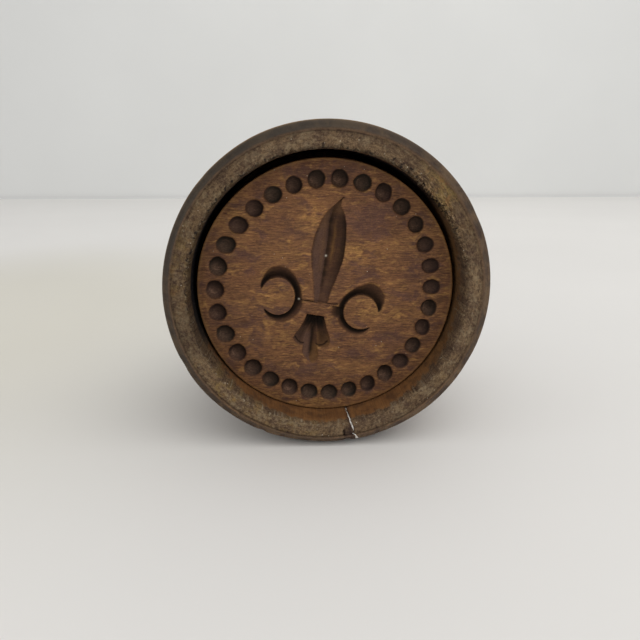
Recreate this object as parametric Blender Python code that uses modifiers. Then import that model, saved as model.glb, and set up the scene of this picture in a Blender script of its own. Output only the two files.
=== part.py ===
"""Cup butter mold: a turned wooden case, a carved print disc that slides inside it, and the turned handle that
screws into the back of the print. It lies on its side, mouth towards -Y, knob towards +Y, floor at z = 0.

Metres, +Z up; dimensions are named in millimetres. Each piece is turned about its own local Z axis, which points
out of the mouth, so a piece's local X is world X, its local Y is world Z, and its local Z is world -Y. Left and
right are -X and +X, as seen from the mouth.
"""

import math

import bmesh
import bpy
from mathutils import Matrix, Vector

MM = 0.001

# --- driving dimensions, millimetres ---------------------------------------------------------------
CASE_STEPS = 72
HANDLE_STEPS = 40

CASE_R = 58.0  # greatest outside radius: the lip band and the shoulder bead, which it lies on
CASE_BODY_R = 57.3
CASE_LENGTH = 97.0
BORE_R = 48.3
BORE_DEPTH = 83.0
GUIDE_R = 12.8  # hole for the stem in the case's back

PLAY = 1.2  # the plunger drops this far in the bore when the mold lies on its side
GAP = 0.3

PRINT_R = 46.7
PRINT_THICK = 15.0
PRINT_RECESS = 12.7  # how far the carved face stands behind the rim at rest
SOCKET_R = 9.9
SOCKET_DEPTH = 10.5

STEM_R = 11.0
TENON_R = 8.3
OVERTRAVEL = 6.0  # the face can be pushed this far out of the mouth
KNOB_R = 20.0
KNOB_LENGTH = 30.0

# --- derived ---------------------------------------------------------------------------------------
# The many-sided turning lies on one of its flats.
CASE_HALF_HEIGHT = CASE_R * math.cos(math.pi / CASE_STEPS)
HALF_STEP = math.pi / CASE_STEPS
# Local z of the handle's parts, measured from the carved face.
TENON_TIP_Z = -(PRINT_THICK - SOCKET_DEPTH + GAP)
STEM_FRONT_Z = -PRINT_THICK - GAP
KNOB_FRONT_Z = -(CASE_LENGTH + OVERTRAVEL + GAP)
TOTAL_LENGTH = PRINT_RECESS - KNOB_FRONT_Z + KNOB_LENGTH
MOUTH_Y = -TOTAL_LENGTH / 2


# --- scene -----------------------------------------------------------------------------------------
for old in list(bpy.data.objects):
    bpy.data.objects.remove(old, do_unlink=True)

parts = bpy.data.collections.new("butter_mold")
cutters = bpy.data.collections.new("cutters")
bpy.context.scene.collection.children.link(parts)
bpy.context.scene.collection.children.link(cutters)


# --- helpers ---------------------------------------------------------------------------------------
def wood(name, color, roughness):
    material = bpy.data.materials.new(name)
    material.use_nodes = True
    shader = material.node_tree.nodes["Principled BSDF"]
    shader.inputs["Base Color"].default_value = (*color, 1.0)
    shader.inputs["Roughness"].default_value = roughness
    shader.inputs["Metallic"].default_value = 0.0
    return material


def axis_empty(name, y, z):
    """An empty whose local Z points out of the mouth."""
    empty = bpy.data.objects.new(name, None)
    parts.objects.link(empty)
    empty.location = (0.0, y * MM, z * MM)
    empty.rotation_euler = (math.pi / 2, 0.0, 0.0)
    empty.empty_display_size = 0.02
    return empty


def new_object(name, mesh, collection):
    obj = bpy.data.objects.new(name, mesh)
    collection.objects.link(obj)
    return obj


def object_from(name, bm, collection):
    mesh = bpy.data.meshes.new(name)
    bm.to_mesh(mesh)
    bm.free()
    return new_object(name, mesh, collection)


def cutter_from(name, bm):
    """A hidden helper object from a bmesh, its faces turned outwards."""
    bmesh.ops.recalc_face_normals(bm, faces=bm.faces)
    obj = object_from(name, bm, cutters)
    obj.hide_render = True
    obj.display_type = "WIRE"
    return obj


def add_boolean(target, helper, name, operation):
    helper.parent = target
    boolean = target.modifiers.new(name, "BOOLEAN")
    boolean.operation = operation
    boolean.solver = "EXACT"
    boolean.object = helper


def cut(target, name, bm):
    add_boolean(target, cutter_from(name, bm), "cut_" + name, "DIFFERENCE")


def turned(name, profile, steps, closed):
    """A turned piece: (radius, z) points in mm at +X, and a Screw modifier."""
    points = [(r * MM, 0.0, z * MM) for r, z in profile]
    edges = [(i, i + 1) for i in range(len(points) - 1)]
    if closed:
        edges.append((len(points) - 1, 0))
    mesh = bpy.data.meshes.new(name)
    mesh.from_pydata(points, edges, [])
    obj = new_object(name, mesh, parts)
    screw = obj.modifiers.new("turning", "SCREW")
    screw.axis = "Z"
    screw.angle = 2 * math.pi
    screw.steps = steps
    screw.render_steps = steps
    screw.use_merge_vertices = True
    screw.merge_threshold = 0.02 * MM
    screw.use_smooth_shade = True
    return obj


def arc(centre_r, centre_z, radius, start, end, count):
    """count + 1 points of an arc in the profile plane, angles in degrees from +X towards +Z."""
    points = []
    for i in range(count + 1):
        angle = math.radians(start + (end - start) * i / count)
        points.append((centre_r + radius * math.cos(angle), centre_z + radius * math.sin(angle)))
    return points


def cylinder(radius, front_z, back_z, segments):
    bm = bmesh.new()
    bmesh.ops.create_cone(
        bm,
        cap_ends=True,
        cap_tris=False,
        segments=segments,
        radius1=radius * MM,
        radius2=radius * MM,
        depth=(front_z - back_z) * MM,
    )
    bmesh.ops.translate(bm, verts=bm.verts, vec=(0, 0, (front_z + back_z) / 2 * MM))
    return bm


def loft(rings):
    """A capped bmesh skin over rings of (x, y, z) points in mm."""
    bm = bmesh.new()
    rings = [[bm.verts.new(Vector(point) * MM) for point in ring] for ring in rings]
    size = len(rings[0])
    for one, two in zip(rings, rings[1:]):
        for k in range(size):
            following = (k + 1) % size
            bm.faces.new((one[k], one[following], two[following], two[k]))
    bm.faces.new(rings[0])
    bm.faces.new(list(reversed(rings[-1])))
    return bm


# --- case ------------------------------------------------------------------------------------------
RIM_OUTER_R = 54.9  # the flat end-grain rim runs from the bore to here
LIP_DEPTH = 3.8  # the rounded lip reaches CASE_R this far behind the rim
LIP_ROUND = LIP_DEPTH - 0.4
GROOVES_Z = (-26.0, -29.0, -58.0, -61.0)
GROOVE_DEPTH = 0.7
GROOVE_HALF_WIDTH = 0.6
SHOULDER_R = CASE_BODY_R - 1.2
SHOULDER_ROUND = 14.0
COLLAR_R = 22.5

CRACK_ANGLE = 172.0  # clockwise from the top, seen from the mouth
CRACK_WIDTH = 0.7
CRACK_LENGTH = 46.0
CRACK_END_SHARE = 0.15  # of the width, left at the closed end
CRACK_MID_R = 54.0
CRACK_RADIAL = 14.0  # the cutter's radial extent, past both faces of the wall
CRACK_ABOVE_RIM = 1.0


def case_profile():
    """From the rim, down the outside to the collar, through the guide hole, and up the bore."""
    profile = [(BORE_R + 0.4, 0.0), (RIM_OUTER_R, 0.0)]
    profile += arc(CASE_R - LIP_ROUND, -LIP_DEPTH, LIP_ROUND, 62, 0, 3)
    # Lip band, and the step down to the body
    profile += [(CASE_R, -8.0), (CASE_BODY_R, -8.8)]
    # V-shaped lines cut round the body
    for z in GROOVES_Z:
        profile += [
            (CASE_BODY_R, z + GROOVE_HALF_WIDTH),
            (CASE_BODY_R - GROOVE_DEPTH, z),
            (CASE_BODY_R, z - GROOVE_HALF_WIDTH),
        ]
    # Shoulder bead
    profile += [(CASE_BODY_R, -70.0), (CASE_R - 0.3, -70.8)]
    profile += [(CASE_R, -72.6), (CASE_R - 0.3, -74.4)]
    # Rounded shoulder, and the shallow slope of the back
    profile += [(SHOULDER_R, -75.2)]
    profile += arc(SHOULDER_R - SHOULDER_ROUND, -77.5, SHOULDER_ROUND, 0, -68, 5)
    profile += [(36.0, -92.6), (27.0, -93.9)]
    # Collar
    profile += [(COLLAR_R + 1.2, -94.2), (COLLAR_R, -95.0)]
    profile += [(COLLAR_R - 0.8, -96.6), (COLLAR_R - 2.0, -CASE_LENGTH)]
    # Guide hole
    profile += [(GUIDE_R + 0.6, -CASE_LENGTH), (GUIDE_R, -CASE_LENGTH + 0.6)]
    profile += [(GUIDE_R, -BORE_DEPTH - 0.4), (GUIDE_R + 0.4, -BORE_DEPTH)]
    # Bore
    profile += [(BORE_R - 1.0, -BORE_DEPTH), (BORE_R, -BORE_DEPTH + 1.0), (BORE_R, -0.4)]
    return profile


def cut_split(case):
    """The split in the wall: widest at the rim, closing towards the shoulder."""
    bm = bmesh.new()
    bmesh.ops.create_cube(bm, size=1.0)
    for v in bm.verts:
        at_rim = v.co.z > 0
        v.co.x *= CRACK_WIDTH * MM * (1.0 if at_rim else CRACK_END_SHARE)
        v.co.y = (CRACK_MID_R + v.co.y * CRACK_RADIAL) * MM
        v.co.z = (CRACK_ABOVE_RIM if at_rim else -CRACK_LENGTH) * MM
    # The case's own half-step turn is taken back here.
    turn = Matrix.Rotation(-math.radians(CRACK_ANGLE) - HALF_STEP, 3, "Z")
    bmesh.ops.rotate(bm, verts=bm.verts, cent=(0, 0, 0), matrix=turn)
    cut(case, "case_split", bm)


def build_case(axis):
    case = turned("case", case_profile(), CASE_STEPS, closed=True)
    case.data.materials.append(wood("case_wood", color=(0.115, 0.066, 0.038), roughness=0.55))
    case.parent = axis
    # Half a step round, so that a flat and not a corner of the turning touches the floor.
    case.rotation_euler = (0.0, 0.0, HALF_STEP)
    cut_split(case)


# --- print -----------------------------------------------------------------------------------------
SOCKET_CUTTER_EXTRA = 2.0  # the socket's cutter stands this far out of the back

DIMPLES = 31
DIMPLE_RING_R = 39.85
DIMPLE_R = 3.0
DIMPLE_DEPTH = 2.0

STROKE_TOP = 1.0  # a stroke's cutter reaches this far above the carved face
STROKE_EDGE = 0.03  # and its V starts this far above it

# The fleur-de-lis's upright strokes. Each row holds (distance below the centre, value) stations:
# x of the left edge, of the valley and of the right edge, then the depth.
UPRIGHT_STROKES = {
    "flame": dict(
        left=[(-33.0, 6.2), (-26.4, 0.0), (-20.0, -3.6), (-11.0, -5.4), (4.6, -4.5)],
        valley=[(-33.0, 6.5), (-28.0, 2.6), (-21.0, 1.2), (-10.0, -0.2), (4.6, -2.4)],
        right=[(-33.0, 6.8), (-28.0, 6.2), (-20.0, 7.3), (-10.0, 6.2), (4.6, 0.9)],
        depth=[(-33.0, 0.3), (-27.0, 1.6), (-16.0, 2.2), (4.6, 1.6)],
        count=10,
    ),
    "left_petal": dict(
        left=[(10.1, -7.2), (17.5, -11.6), (21.0, -10.6)],
        valley=[(10.1, -5.0), (17.5, -8.4), (21.0, -9.4)],
        right=[(10.1, -4.6), (17.5, -6.4), (21.0, -8.2)],
        depth=[(10.1, 2.3), (16.0, 1.6), (21.0, 0.4)],
        count=4,
    ),
    "right_petal": dict(
        left=[(10.6, -5.4), (18.0, -4.6), (22.0, -2.2)],
        valley=[(10.6, -3.0), (18.0, -1.6), (22.0, -0.9)],
        right=[(10.6, -0.8), (18.0, 1.2), (22.0, 0.8)],
        depth=[(10.6, 2.3), (16.0, 1.8), (22.0, 0.5)],
        count=4,
    ),
    "tail": dict(
        left=[(13.0, -6.6), (22.0, -8.7), (28.4, -5.4)],
        valley=[(13.0, -4.9), (22.0, -6.0), (28.4, -5.0)],
        right=[(13.0, -4.0), (22.0, -3.1), (28.4, -4.4)],
        depth=[(13.0, 1.5), (22.0, 1.7), (28.4, 0.4)],
        count=5,
    ),
}

# The curls: the flat eye's centre and radii in x and y, the stroke's start and end in degrees
# clockwise from +Y, and (share of the way, width) stations.
CURLS = {
    "left_curl": dict(
        centre=(-17.7, -2.6),
        radii=(6.4, 7.1),
        start=-62,
        end=228,
        width=[(0, 0.7), (0.22, 4.4), (0.5, 2.8), (0.58, 3.4), (0.8, 2.3), (1, 0.5)],
    ),
    "right_curl": dict(
        centre=(12.9, -9.1),
        radii=(6.5, 6.6),
        start=86,
        end=-206,
        width=[(0, 0.7), (0.2, 5.6), (0.42, 2.4), (0.6, 1.9), (0.85, 2.4), (1, 0.5)],
    ),
}
CURL_COUNT = 20


def dimple_centre(i):
    """The ring was stepped round by eye, so its spacing and its radius drift a little."""
    a = 2 * math.pi * i / DIMPLES
    turn = -6.1 + 1.0 * math.cos(a) + 2.9 * math.sin(a) - 0.7 * math.sin(2 * a)  # degrees
    r = DIMPLE_RING_R - 0.45 * math.cos(a) - 0.35 * math.sin(a) + 0.45 * math.sin(2 * a)
    r += 0.45 * math.sin(3 * a)
    a += math.radians(turn)
    return r * math.sin(a), r * math.cos(a)


def cut_dimples(disc):
    bm = bmesh.new()
    # The ball whose cap has the dimple's radius and depth
    ball_r = (DIMPLE_R**2 + DIMPLE_DEPTH**2) / (2 * DIMPLE_DEPTH)
    for i in range(DIMPLES):
        x, y = dimple_centre(i)
        spot = Matrix.Translation(Vector((x, y, ball_r - DIMPLE_DEPTH)) * MM)
        bmesh.ops.create_uvsphere(
            bm, u_segments=12, v_segments=8, radius=ball_r * MM, matrix=spot
        )
    cut(disc, "dimples", bm)


def between(stations, t):
    """Smooth value at t from (t, value) stations."""
    for (t0, v0), (t1, v1) in zip(stations, stations[1:]):
        if t <= t1:
            f = (t - t0) / (t1 - t0)
            f = f * f * (3 - 2 * f)
            return v0 + (v1 - v0) * f
    return stations[-1][1]


def cut_stroke(disc, name, sections):
    """A gouge's V along (edge, valley, other edge, depth) sections, points in mm on the face."""
    rings = [
        [
            (*edge, STROKE_TOP),
            (*edge, STROKE_EDGE),
            (*valley, -depth),
            (*other, STROKE_EDGE),
            (*other, STROKE_TOP),
        ]
        for edge, valley, other, depth in sections
    ]
    bm = loft(rings)
    bmesh.ops.triangulate(bm, faces=bm.faces)
    cut(disc, name, bm)


def upright_sections(left, valley, right, depth, count):
    """Sections of a stroke that runs down the face."""
    first = left[0][0]
    last = left[-1][0]
    sections = []
    for i in range(count + 1):
        down = first + (last - first) * i / count
        points = [(between(stations, down), -down) for stations in (left, valley, right)]
        sections.append((*points, between(depth, down)))
    return sections


def curl_sections(centre, radii, start, end, width):
    """Sections of a crescent round a curl's flat eye: steep at the eye, sloping up outwards."""
    sections = []
    for i in range(CURL_COUNT + 1):
        t = i / CURL_COUNT
        angle = math.radians(start + (end - start) * t)
        w = between(width, t)
        out = Vector((math.sin(angle), math.cos(angle)))
        eye = Vector((centre[0] + radii[0] * out.x, centre[1] + radii[1] * out.y))
        inner = eye - out * 0.15
        valley = eye + out * min(0.35, w * 0.3)
        outer = eye + out * w
        depth = 0.3 + 0.42 * min(w, 4.0)
        sections.append((inner, valley, outer, depth))
    return sections


def build_print(axis):
    disc = object_from("print", cylinder(PRINT_R, 0.0, -PRINT_THICK, CASE_STEPS), parts)
    disc.data.materials.append(wood("print_wood", color=(0.145, 0.072, 0.034), roughness=0.5))
    disc.parent = axis
    disc.data.shade_smooth()
    disc.data.set_sharp_from_angle(angle=math.radians(40))
    bevel = disc.modifiers.new("worn_edges", "BEVEL")
    bevel.width = 0.8 * MM
    bevel.segments = 2
    bevel.limit_method = "ANGLE"
    bevel.angle_limit = math.radians(60)

    # The blind socket in the back, for the handle's tenon
    socket_end_z = -PRINT_THICK + SOCKET_DEPTH
    socket = cylinder(SOCKET_R, socket_end_z, -PRINT_THICK - SOCKET_CUTTER_EXTRA, 48)
    cut(disc, "socket", socket)
    cut_dimples(disc)
    for name, stroke in UPRIGHT_STROKES.items():
        cut_stroke(disc, name, upright_sections(**stroke))
    for name, curl in CURLS.items():
        cut_stroke(disc, name, curl_sections(**curl))


# --- handle ----------------------------------------------------------------------------------------
BEAD_R = 2.6

# The knob's outline: (share of KNOB_R, distance behind the knob's front)
KNOB_OUTLINE = [
    (0.72, 8.0), (0.9, 10.4), (0.985, 14.0), (1.0, 17.5), (0.975, 20.5), (0.88, 24.2),
    (0.69, 27.4), (0.42, 29.3), (0.2, KNOB_LENGTH), (0.0, KNOB_LENGTH),
]

THREAD_CREST_R = 9.5
THREAD_ROOT_R = TENON_R - 0.4  # sunk into the tenon
THREAD_PITCH = 4.0
THREAD_LENGTH = SOCKET_DEPTH - 3.5
THREAD_START = 1.6  # behind the tenon's tip
THREAD_STEPS = 24  # per turn
THREAD_ROOT_HALF = 1.35  # half widths along the axis
THREAD_CREST_HALF = 0.25
FADE_STEPS = 6
FADE_LEAST = 0.15  # share of the ridge's height left at its very ends


def handle_profile():
    """From the tenon's tip, down the stem to the knob's end."""
    profile = [(0.0, TENON_TIP_Z), (TENON_R - 0.8, TENON_TIP_Z), (TENON_R, TENON_TIP_Z - 0.8)]
    profile += [(TENON_R, STEM_FRONT_Z), (STEM_R - 0.5, STEM_FRONT_Z)]
    profile += [(STEM_R, STEM_FRONT_Z - 0.5)]
    profile += [(STEM_R, KNOB_FRONT_Z + 1.0), (STEM_R - 0.4, KNOB_FRONT_Z)]
    # The bead that comes up to the collar when the plunger is pushed right out
    profile += arc(STEM_R + 2.2, KNOB_FRONT_Z - BEAD_R, BEAD_R, 90, -90, 5)
    profile += [(STEM_R + 0.2, KNOB_FRONT_Z - 6.2)]
    profile += [(KNOB_R * share, KNOB_FRONT_Z - behind) for share, behind in KNOB_OUTLINE]
    return profile


def tenon_thread():
    """One ridge that winds along the tenon and dies away at both ends."""
    turns = THREAD_LENGTH / THREAD_PITCH
    count = int(turns * THREAD_STEPS)
    rings = []
    for i in range(count + 1):
        angle = 2 * math.pi * turns * i / count
        z = TENON_TIP_Z - THREAD_START - THREAD_PITCH * turns * i / count
        fade = min(1.0, FADE_LEAST + i / FADE_STEPS, FADE_LEAST + (count - i) / FADE_STEPS)
        crest = TENON_R + (THREAD_CREST_R - TENON_R) * fade
        section = (
            (THREAD_ROOT_R, THREAD_ROOT_HALF),
            (crest, THREAD_CREST_HALF),
            (crest, -THREAD_CREST_HALF),
            (THREAD_ROOT_R, -THREAD_ROOT_HALF),
        )
        rings.append([(r * math.cos(angle), r * math.sin(angle), z + dz) for r, dz in section])
    return cutter_from("tenon_thread", loft(rings))


def build_handle(axis):
    handle = turned("handle", handle_profile(), HANDLE_STEPS, closed=False)
    handle.data.materials.append(wood("handle_wood", color=(0.120, 0.064, 0.032), roughness=0.45))
    handle.parent = axis
    add_boolean(handle, tenon_thread(), "thread", "UNION")


# --- assembly --------------------------------------------------------------------------------------
case_axis = axis_empty("case_axis", MOUTH_Y, CASE_HALF_HEIGHT)
plunger_axis = axis_empty("plunger_axis", MOUTH_Y + PRINT_RECESS, CASE_HALF_HEIGHT - PLAY)
build_case(case_axis)
build_print(plunger_axis)
build_handle(plunger_axis)
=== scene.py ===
"""Looks of the cup butter mold: a turned case, a carved print and a turned handle, in aged wood.

Lengths are in millimetres. The mold lies along Y: its mouth opens towards -Y and its handle
points to +Y, x runs to the right and z up. Each piece is built round its own axis, with y as the
depth behind the case's mouth or behind the print's carved face, and is then placed by the boxes
of the CAD nodes. Angles round the axis start at the top and turn towards +X, unless a comment
says otherwise.
"""

import itertools
import math

import bpy
import numpy as np
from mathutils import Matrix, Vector


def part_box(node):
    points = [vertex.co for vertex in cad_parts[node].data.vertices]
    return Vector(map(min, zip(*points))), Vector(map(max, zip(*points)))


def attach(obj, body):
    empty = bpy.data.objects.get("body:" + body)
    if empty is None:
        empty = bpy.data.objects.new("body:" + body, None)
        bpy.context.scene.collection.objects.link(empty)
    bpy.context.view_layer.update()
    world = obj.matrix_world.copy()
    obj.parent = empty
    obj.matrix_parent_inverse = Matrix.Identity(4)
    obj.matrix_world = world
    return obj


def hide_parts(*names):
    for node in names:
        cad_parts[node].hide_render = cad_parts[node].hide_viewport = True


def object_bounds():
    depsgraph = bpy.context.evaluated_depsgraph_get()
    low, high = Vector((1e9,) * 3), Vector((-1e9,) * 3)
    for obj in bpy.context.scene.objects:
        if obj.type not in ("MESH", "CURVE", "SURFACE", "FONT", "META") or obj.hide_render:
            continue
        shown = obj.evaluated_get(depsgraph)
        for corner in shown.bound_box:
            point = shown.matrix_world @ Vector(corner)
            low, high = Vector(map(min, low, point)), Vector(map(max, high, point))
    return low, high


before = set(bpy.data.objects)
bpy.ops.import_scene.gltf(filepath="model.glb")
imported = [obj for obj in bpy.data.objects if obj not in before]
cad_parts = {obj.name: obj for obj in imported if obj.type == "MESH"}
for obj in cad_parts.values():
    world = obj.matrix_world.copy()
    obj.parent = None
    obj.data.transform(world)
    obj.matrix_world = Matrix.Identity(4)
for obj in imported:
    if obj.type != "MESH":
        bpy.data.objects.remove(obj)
cad_low, cad_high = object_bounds()

MM = 0.001

# ------------------------------------------------------------------------------------------
# Sizes and places
# ------------------------------------------------------------------------------------------
case_low, case_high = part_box("case")
print_low, print_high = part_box("print")
handle_low, handle_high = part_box("handle")

MOUTH_Y = case_low.y / MM
CASE_END = (case_high.y - case_low.y) / MM  # depth of the case's back end
AXIS_Z = (case_low.z + case_high.z) / 2 / MM
CASE_R = (case_high.x - case_low.x) / 2 / MM - 0.01
BODY_R = CASE_R - 0.7
RIM_R = 54.9  # outer edge of the flat rim
BORE_R = 48.3
BORE_DEPTH = 83.0
GUIDE_R = 12.8  # hole for the stem

PRINT_Z = (print_low.z + print_high.z) / 2 / MM  # axis of the print and the handle
FACE_Y = print_low.y / MM
PRINT_R = (print_high.x - print_low.x) / 2 / MM + 0.2
PRINT_THICK = (print_high.y - print_low.y) / MM
SOCKET_R = 9.9
SOCKET_DEPTH = 10.5

HANDLE_TIP = (handle_low.y - print_low.y) / MM  # depths behind the carved face
HANDLE_END = (handle_high.y - print_low.y) / MM
KNOB_LENGTH = 30.0
KNOB_FRONT = HANDLE_END - KNOB_LENGTH
KNOB_R = (handle_high.x - handle_low.x) / 2 / MM
STEM_R = 11.0

# The camera's place also sets the plane of the split in the case.
CAMERA = Vector((-15.5, MOUTH_Y - 216.3, AXIS_Z + 46.1))
CAMERA_TILT = 14.42  # degrees down
CAMERA_TURN = -3.31


# ------------------------------------------------------------------------------------------
# Noise and curves
# ------------------------------------------------------------------------------------------
HASH_PRIMES = [np.uint32(prime) for prime in (374761393, 668265263, 2246822519, 3266489917)]


def hash_cells(cell_x, cell_y, cell_z, seed):
    """A scrambled 32-bit number for every grid cell."""
    prime_x, prime_y, prime_z, prime_w = HASH_PRIMES
    with np.errstate(over="ignore"):
        code = (
            cell_x.astype(np.uint32) * prime_x
            + cell_y.astype(np.uint32) * prime_y
            + cell_z.astype(np.uint32) * prime_z
            + np.uint32(seed * 3266489917 % 4294967296)
        )
        code = (code ^ (code >> np.uint32(15))) * prime_z
        code = (code ^ (code >> np.uint32(13))) * prime_w
        return code ^ (code >> np.uint32(16))


GRADIENTS = np.array(
    [
        (1, 1, 0), (-1, 1, 0), (1, -1, 0), (-1, -1, 0), (1, 0, 1), (-1, 0, 1),
        (1, 0, -1), (-1, 0, -1), (0, 1, 1), (0, -1, 1), (0, 1, -1), (0, -1, -1),
        (1, 1, 0), (-1, 1, 0), (0, -1, 1), (0, -1, -1),
    ],
    float,
)  # fmt: skip


def noise(x, y, z=0.0, seed=0):
    """Gradient noise, about -1 to 1."""
    point = np.broadcast_arrays(*(np.asarray(axis, float) for axis in (x, y, z)))
    floor = [np.floor(axis) for axis in point]
    cell = [axis.astype(np.int64) for axis in floor]
    part = [axis - start for axis, start in zip(point, floor)]
    ease = [t * t * t * (t * (t * 6 - 15) + 10) for t in part]
    total = np.zeros(point[0].shape)
    for corner in itertools.product((0, 1), repeat=3):
        code = hash_cells(*(axis + step for axis, step in zip(cell, corner)), seed)
        gradient = GRADIENTS[code & np.uint32(15)]
        slope = sum(gradient[..., k] * (part[k] - corner[k]) for k in range(3))
        weight_x, weight_y, weight_z = (e if step else 1 - e for e, step in zip(ease, corner))
        total += weight_x * weight_y * weight_z * slope
    return total


def fbm(x, y, z=0.0, seed=0, octaves=4, gain=0.5):
    """Layered noise, each octave about twice as fine and `gain` times as strong."""
    total, strength, norm, freq = 0.0, 1.0, 0.0, 1.0
    for k in range(octaves):
        total = total + strength * noise(x * freq, y * freq, z * freq, seed + 17 * k)
        norm += strength
        strength *= gain
        freq *= 2.03
    return total / norm


def smooth(start, end, value):
    """Eased step from 0 at start to 1 at end; start may be the larger."""
    t = np.clip((np.asarray(value, float) - start) / (end - start), 0, 1)
    return t * t * (3 - 2 * t)


def bump(value, centre, width):
    return np.exp(-(((value - centre) / width) ** 2))


def turn_gap(angle, origin):
    """Signed angle from origin to angle, degrees."""
    return (np.asarray(angle) - origin + 180.0) % 360.0 - 180.0


def station_arrays(stations):
    return np.array(list(stations), float), np.array(list(stations.values()), float)


def span_index(places, value):
    return np.clip(np.searchsorted(places, value, side="right") - 1, 0, len(places) - 2)


def periodic(stations, angle):
    """Smooth value round a circle from {degrees: value}."""
    places, values = station_arrays(stations)
    places = np.r_[places[-1] - 360, places, places[0] + 360]
    values = np.r_[values[-1], values, values[0]]
    angle = np.asarray(angle, float) % 360
    i = span_index(places, angle)
    t = (angle - places[i]) / (places[i + 1] - places[i])
    t = t * t * (3 - 2 * t)
    return values[i] * (1 - t) + values[i + 1] * t


def along(stations, value):
    """Monotone smooth interpolation through {place: value}, places rising."""
    places, values = station_arrays(stations)
    gaps = np.diff(places)
    slopes = np.diff(values) / gaps
    before, after = slopes[:-1], slopes[1:]
    middle = np.where(before * after > 0, 2 * before * after / (before + after + 1e-12), 0)
    tangents = np.r_[slopes[0], middle, slopes[-1]]
    value = np.clip(np.asarray(value, float), places[0], places[-1])
    i = span_index(places, value)
    t = (value - places[i]) / gaps[i]
    return (
        (2 * t**3 - 3 * t**2 + 1) * values[i]
        + (t**3 - 2 * t**2 + t) * gaps[i] * tangents[i]
        + (-2 * t**3 + 3 * t**2) * values[i + 1]
        + (t**3 - t**2) * gaps[i] * tangents[i + 1]
    )


# ------------------------------------------------------------------------------------------
# Mesh helpers
# ------------------------------------------------------------------------------------------
def signed_volume(points, faces):
    """Positive when the faces wind outwards."""
    total = 0.0
    for block in faces:
        first = points[block[:, 0]]
        for j in range(1, block.shape[1] - 1):
            fan = np.cross(points[block[:, j]], points[block[:, j + 1]])
            total += float(np.sum(first * fan))
    return total / 6


def mesh_object(name, points, faces, attributes, centre_z, front_y):
    """points: (n, 3) about the piece's own axis. faces: arrays, one face to a row."""
    points = points + np.array((0.0, front_y, centre_z))
    loops = np.concatenate([block.ravel() for block in faces])
    sides = np.concatenate([np.full(len(block), block.shape[1]) for block in faces])
    starts = np.cumsum(sides) - sides
    mesh = bpy.data.meshes.new(name)
    mesh.vertices.add(len(points))
    mesh.vertices.foreach_set("co", (points * MM).astype(np.float32).ravel())
    mesh.loops.add(len(loops))
    mesh.loops.foreach_set("vertex_index", loops.astype(np.int32))
    mesh.polygons.add(len(starts))
    mesh.polygons.foreach_set("loop_start", starts.astype(np.int32))
    mesh.polygons.foreach_set("loop_total", sides.astype(np.int32))
    mesh.update(calc_edges=True)
    mesh.validate()
    if signed_volume(points, faces) < 0:
        mesh.flip_normals()
    for key, values in attributes.items():
        layer = mesh.attributes.new(key, "FLOAT", "POINT")
        layer.data.foreach_set("value", np.asarray(values, np.float32).ravel())
    mesh.polygons.foreach_set("use_smooth", np.ones(len(mesh.polygons), bool))
    obj = bpy.data.objects.new(name, mesh)
    bpy.context.scene.collection.objects.link(obj)
    return obj


def resample(outline):
    """Closed outline of (radius, y, step) corners; each stretch is cut into its own steps."""
    points = []
    for (r0, y0, step), (r1, y1, _) in zip(outline, outline[1:] + outline[:1]):
        count = max(1, int(round(math.hypot(r1 - r0, y1 - y0) / step)))
        for j in range(count):
            points.append((r0 + (r1 - r0) * j / count, y0 + (y1 - y0) * j / count))
    return np.array(points)


def arc(centre_r, centre_y, radius, turn, count, step):
    """Outline corners on an arc; angle 0 points outwards, 90 towards the mouth."""
    start, end = turn
    corners = []
    for i in range(count + 1):
        angle = math.radians(start + (end - start) * i / count)
        corners.append(
            (centre_r + radius * math.cos(angle), centre_y - radius * math.sin(angle), step)
        )
    return corners


def outward(steps):
    """Unit normals of a (radius, y) path that has the wood on its inner side, from its steps."""
    steps = steps / (np.linalg.norm(steps, axis=1)[:, None] + 1e-12)
    return np.stack([steps[:, 1], -steps[:, 0]], 1)


# ------------------------------------------------------------------------------------------
# Case: outline
# ------------------------------------------------------------------------------------------
SCORED_LINES = (26.0, 29.0, 58.0, 61.0)  # depths of the lines cut round the body


def scored_line(y):
    """A line cut round the body: its two soft shoulders and its bottom."""
    return [
        (BODY_R, y - 0.75, 0.25),
        (BODY_R - 0.12, y - 0.5, 0.25),
        (BODY_R - 0.75, y, 0.25),
        (BODY_R - 0.12, y + 0.5, 0.25),
        (BODY_R, y + 0.75, 0.9),
    ]


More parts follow.
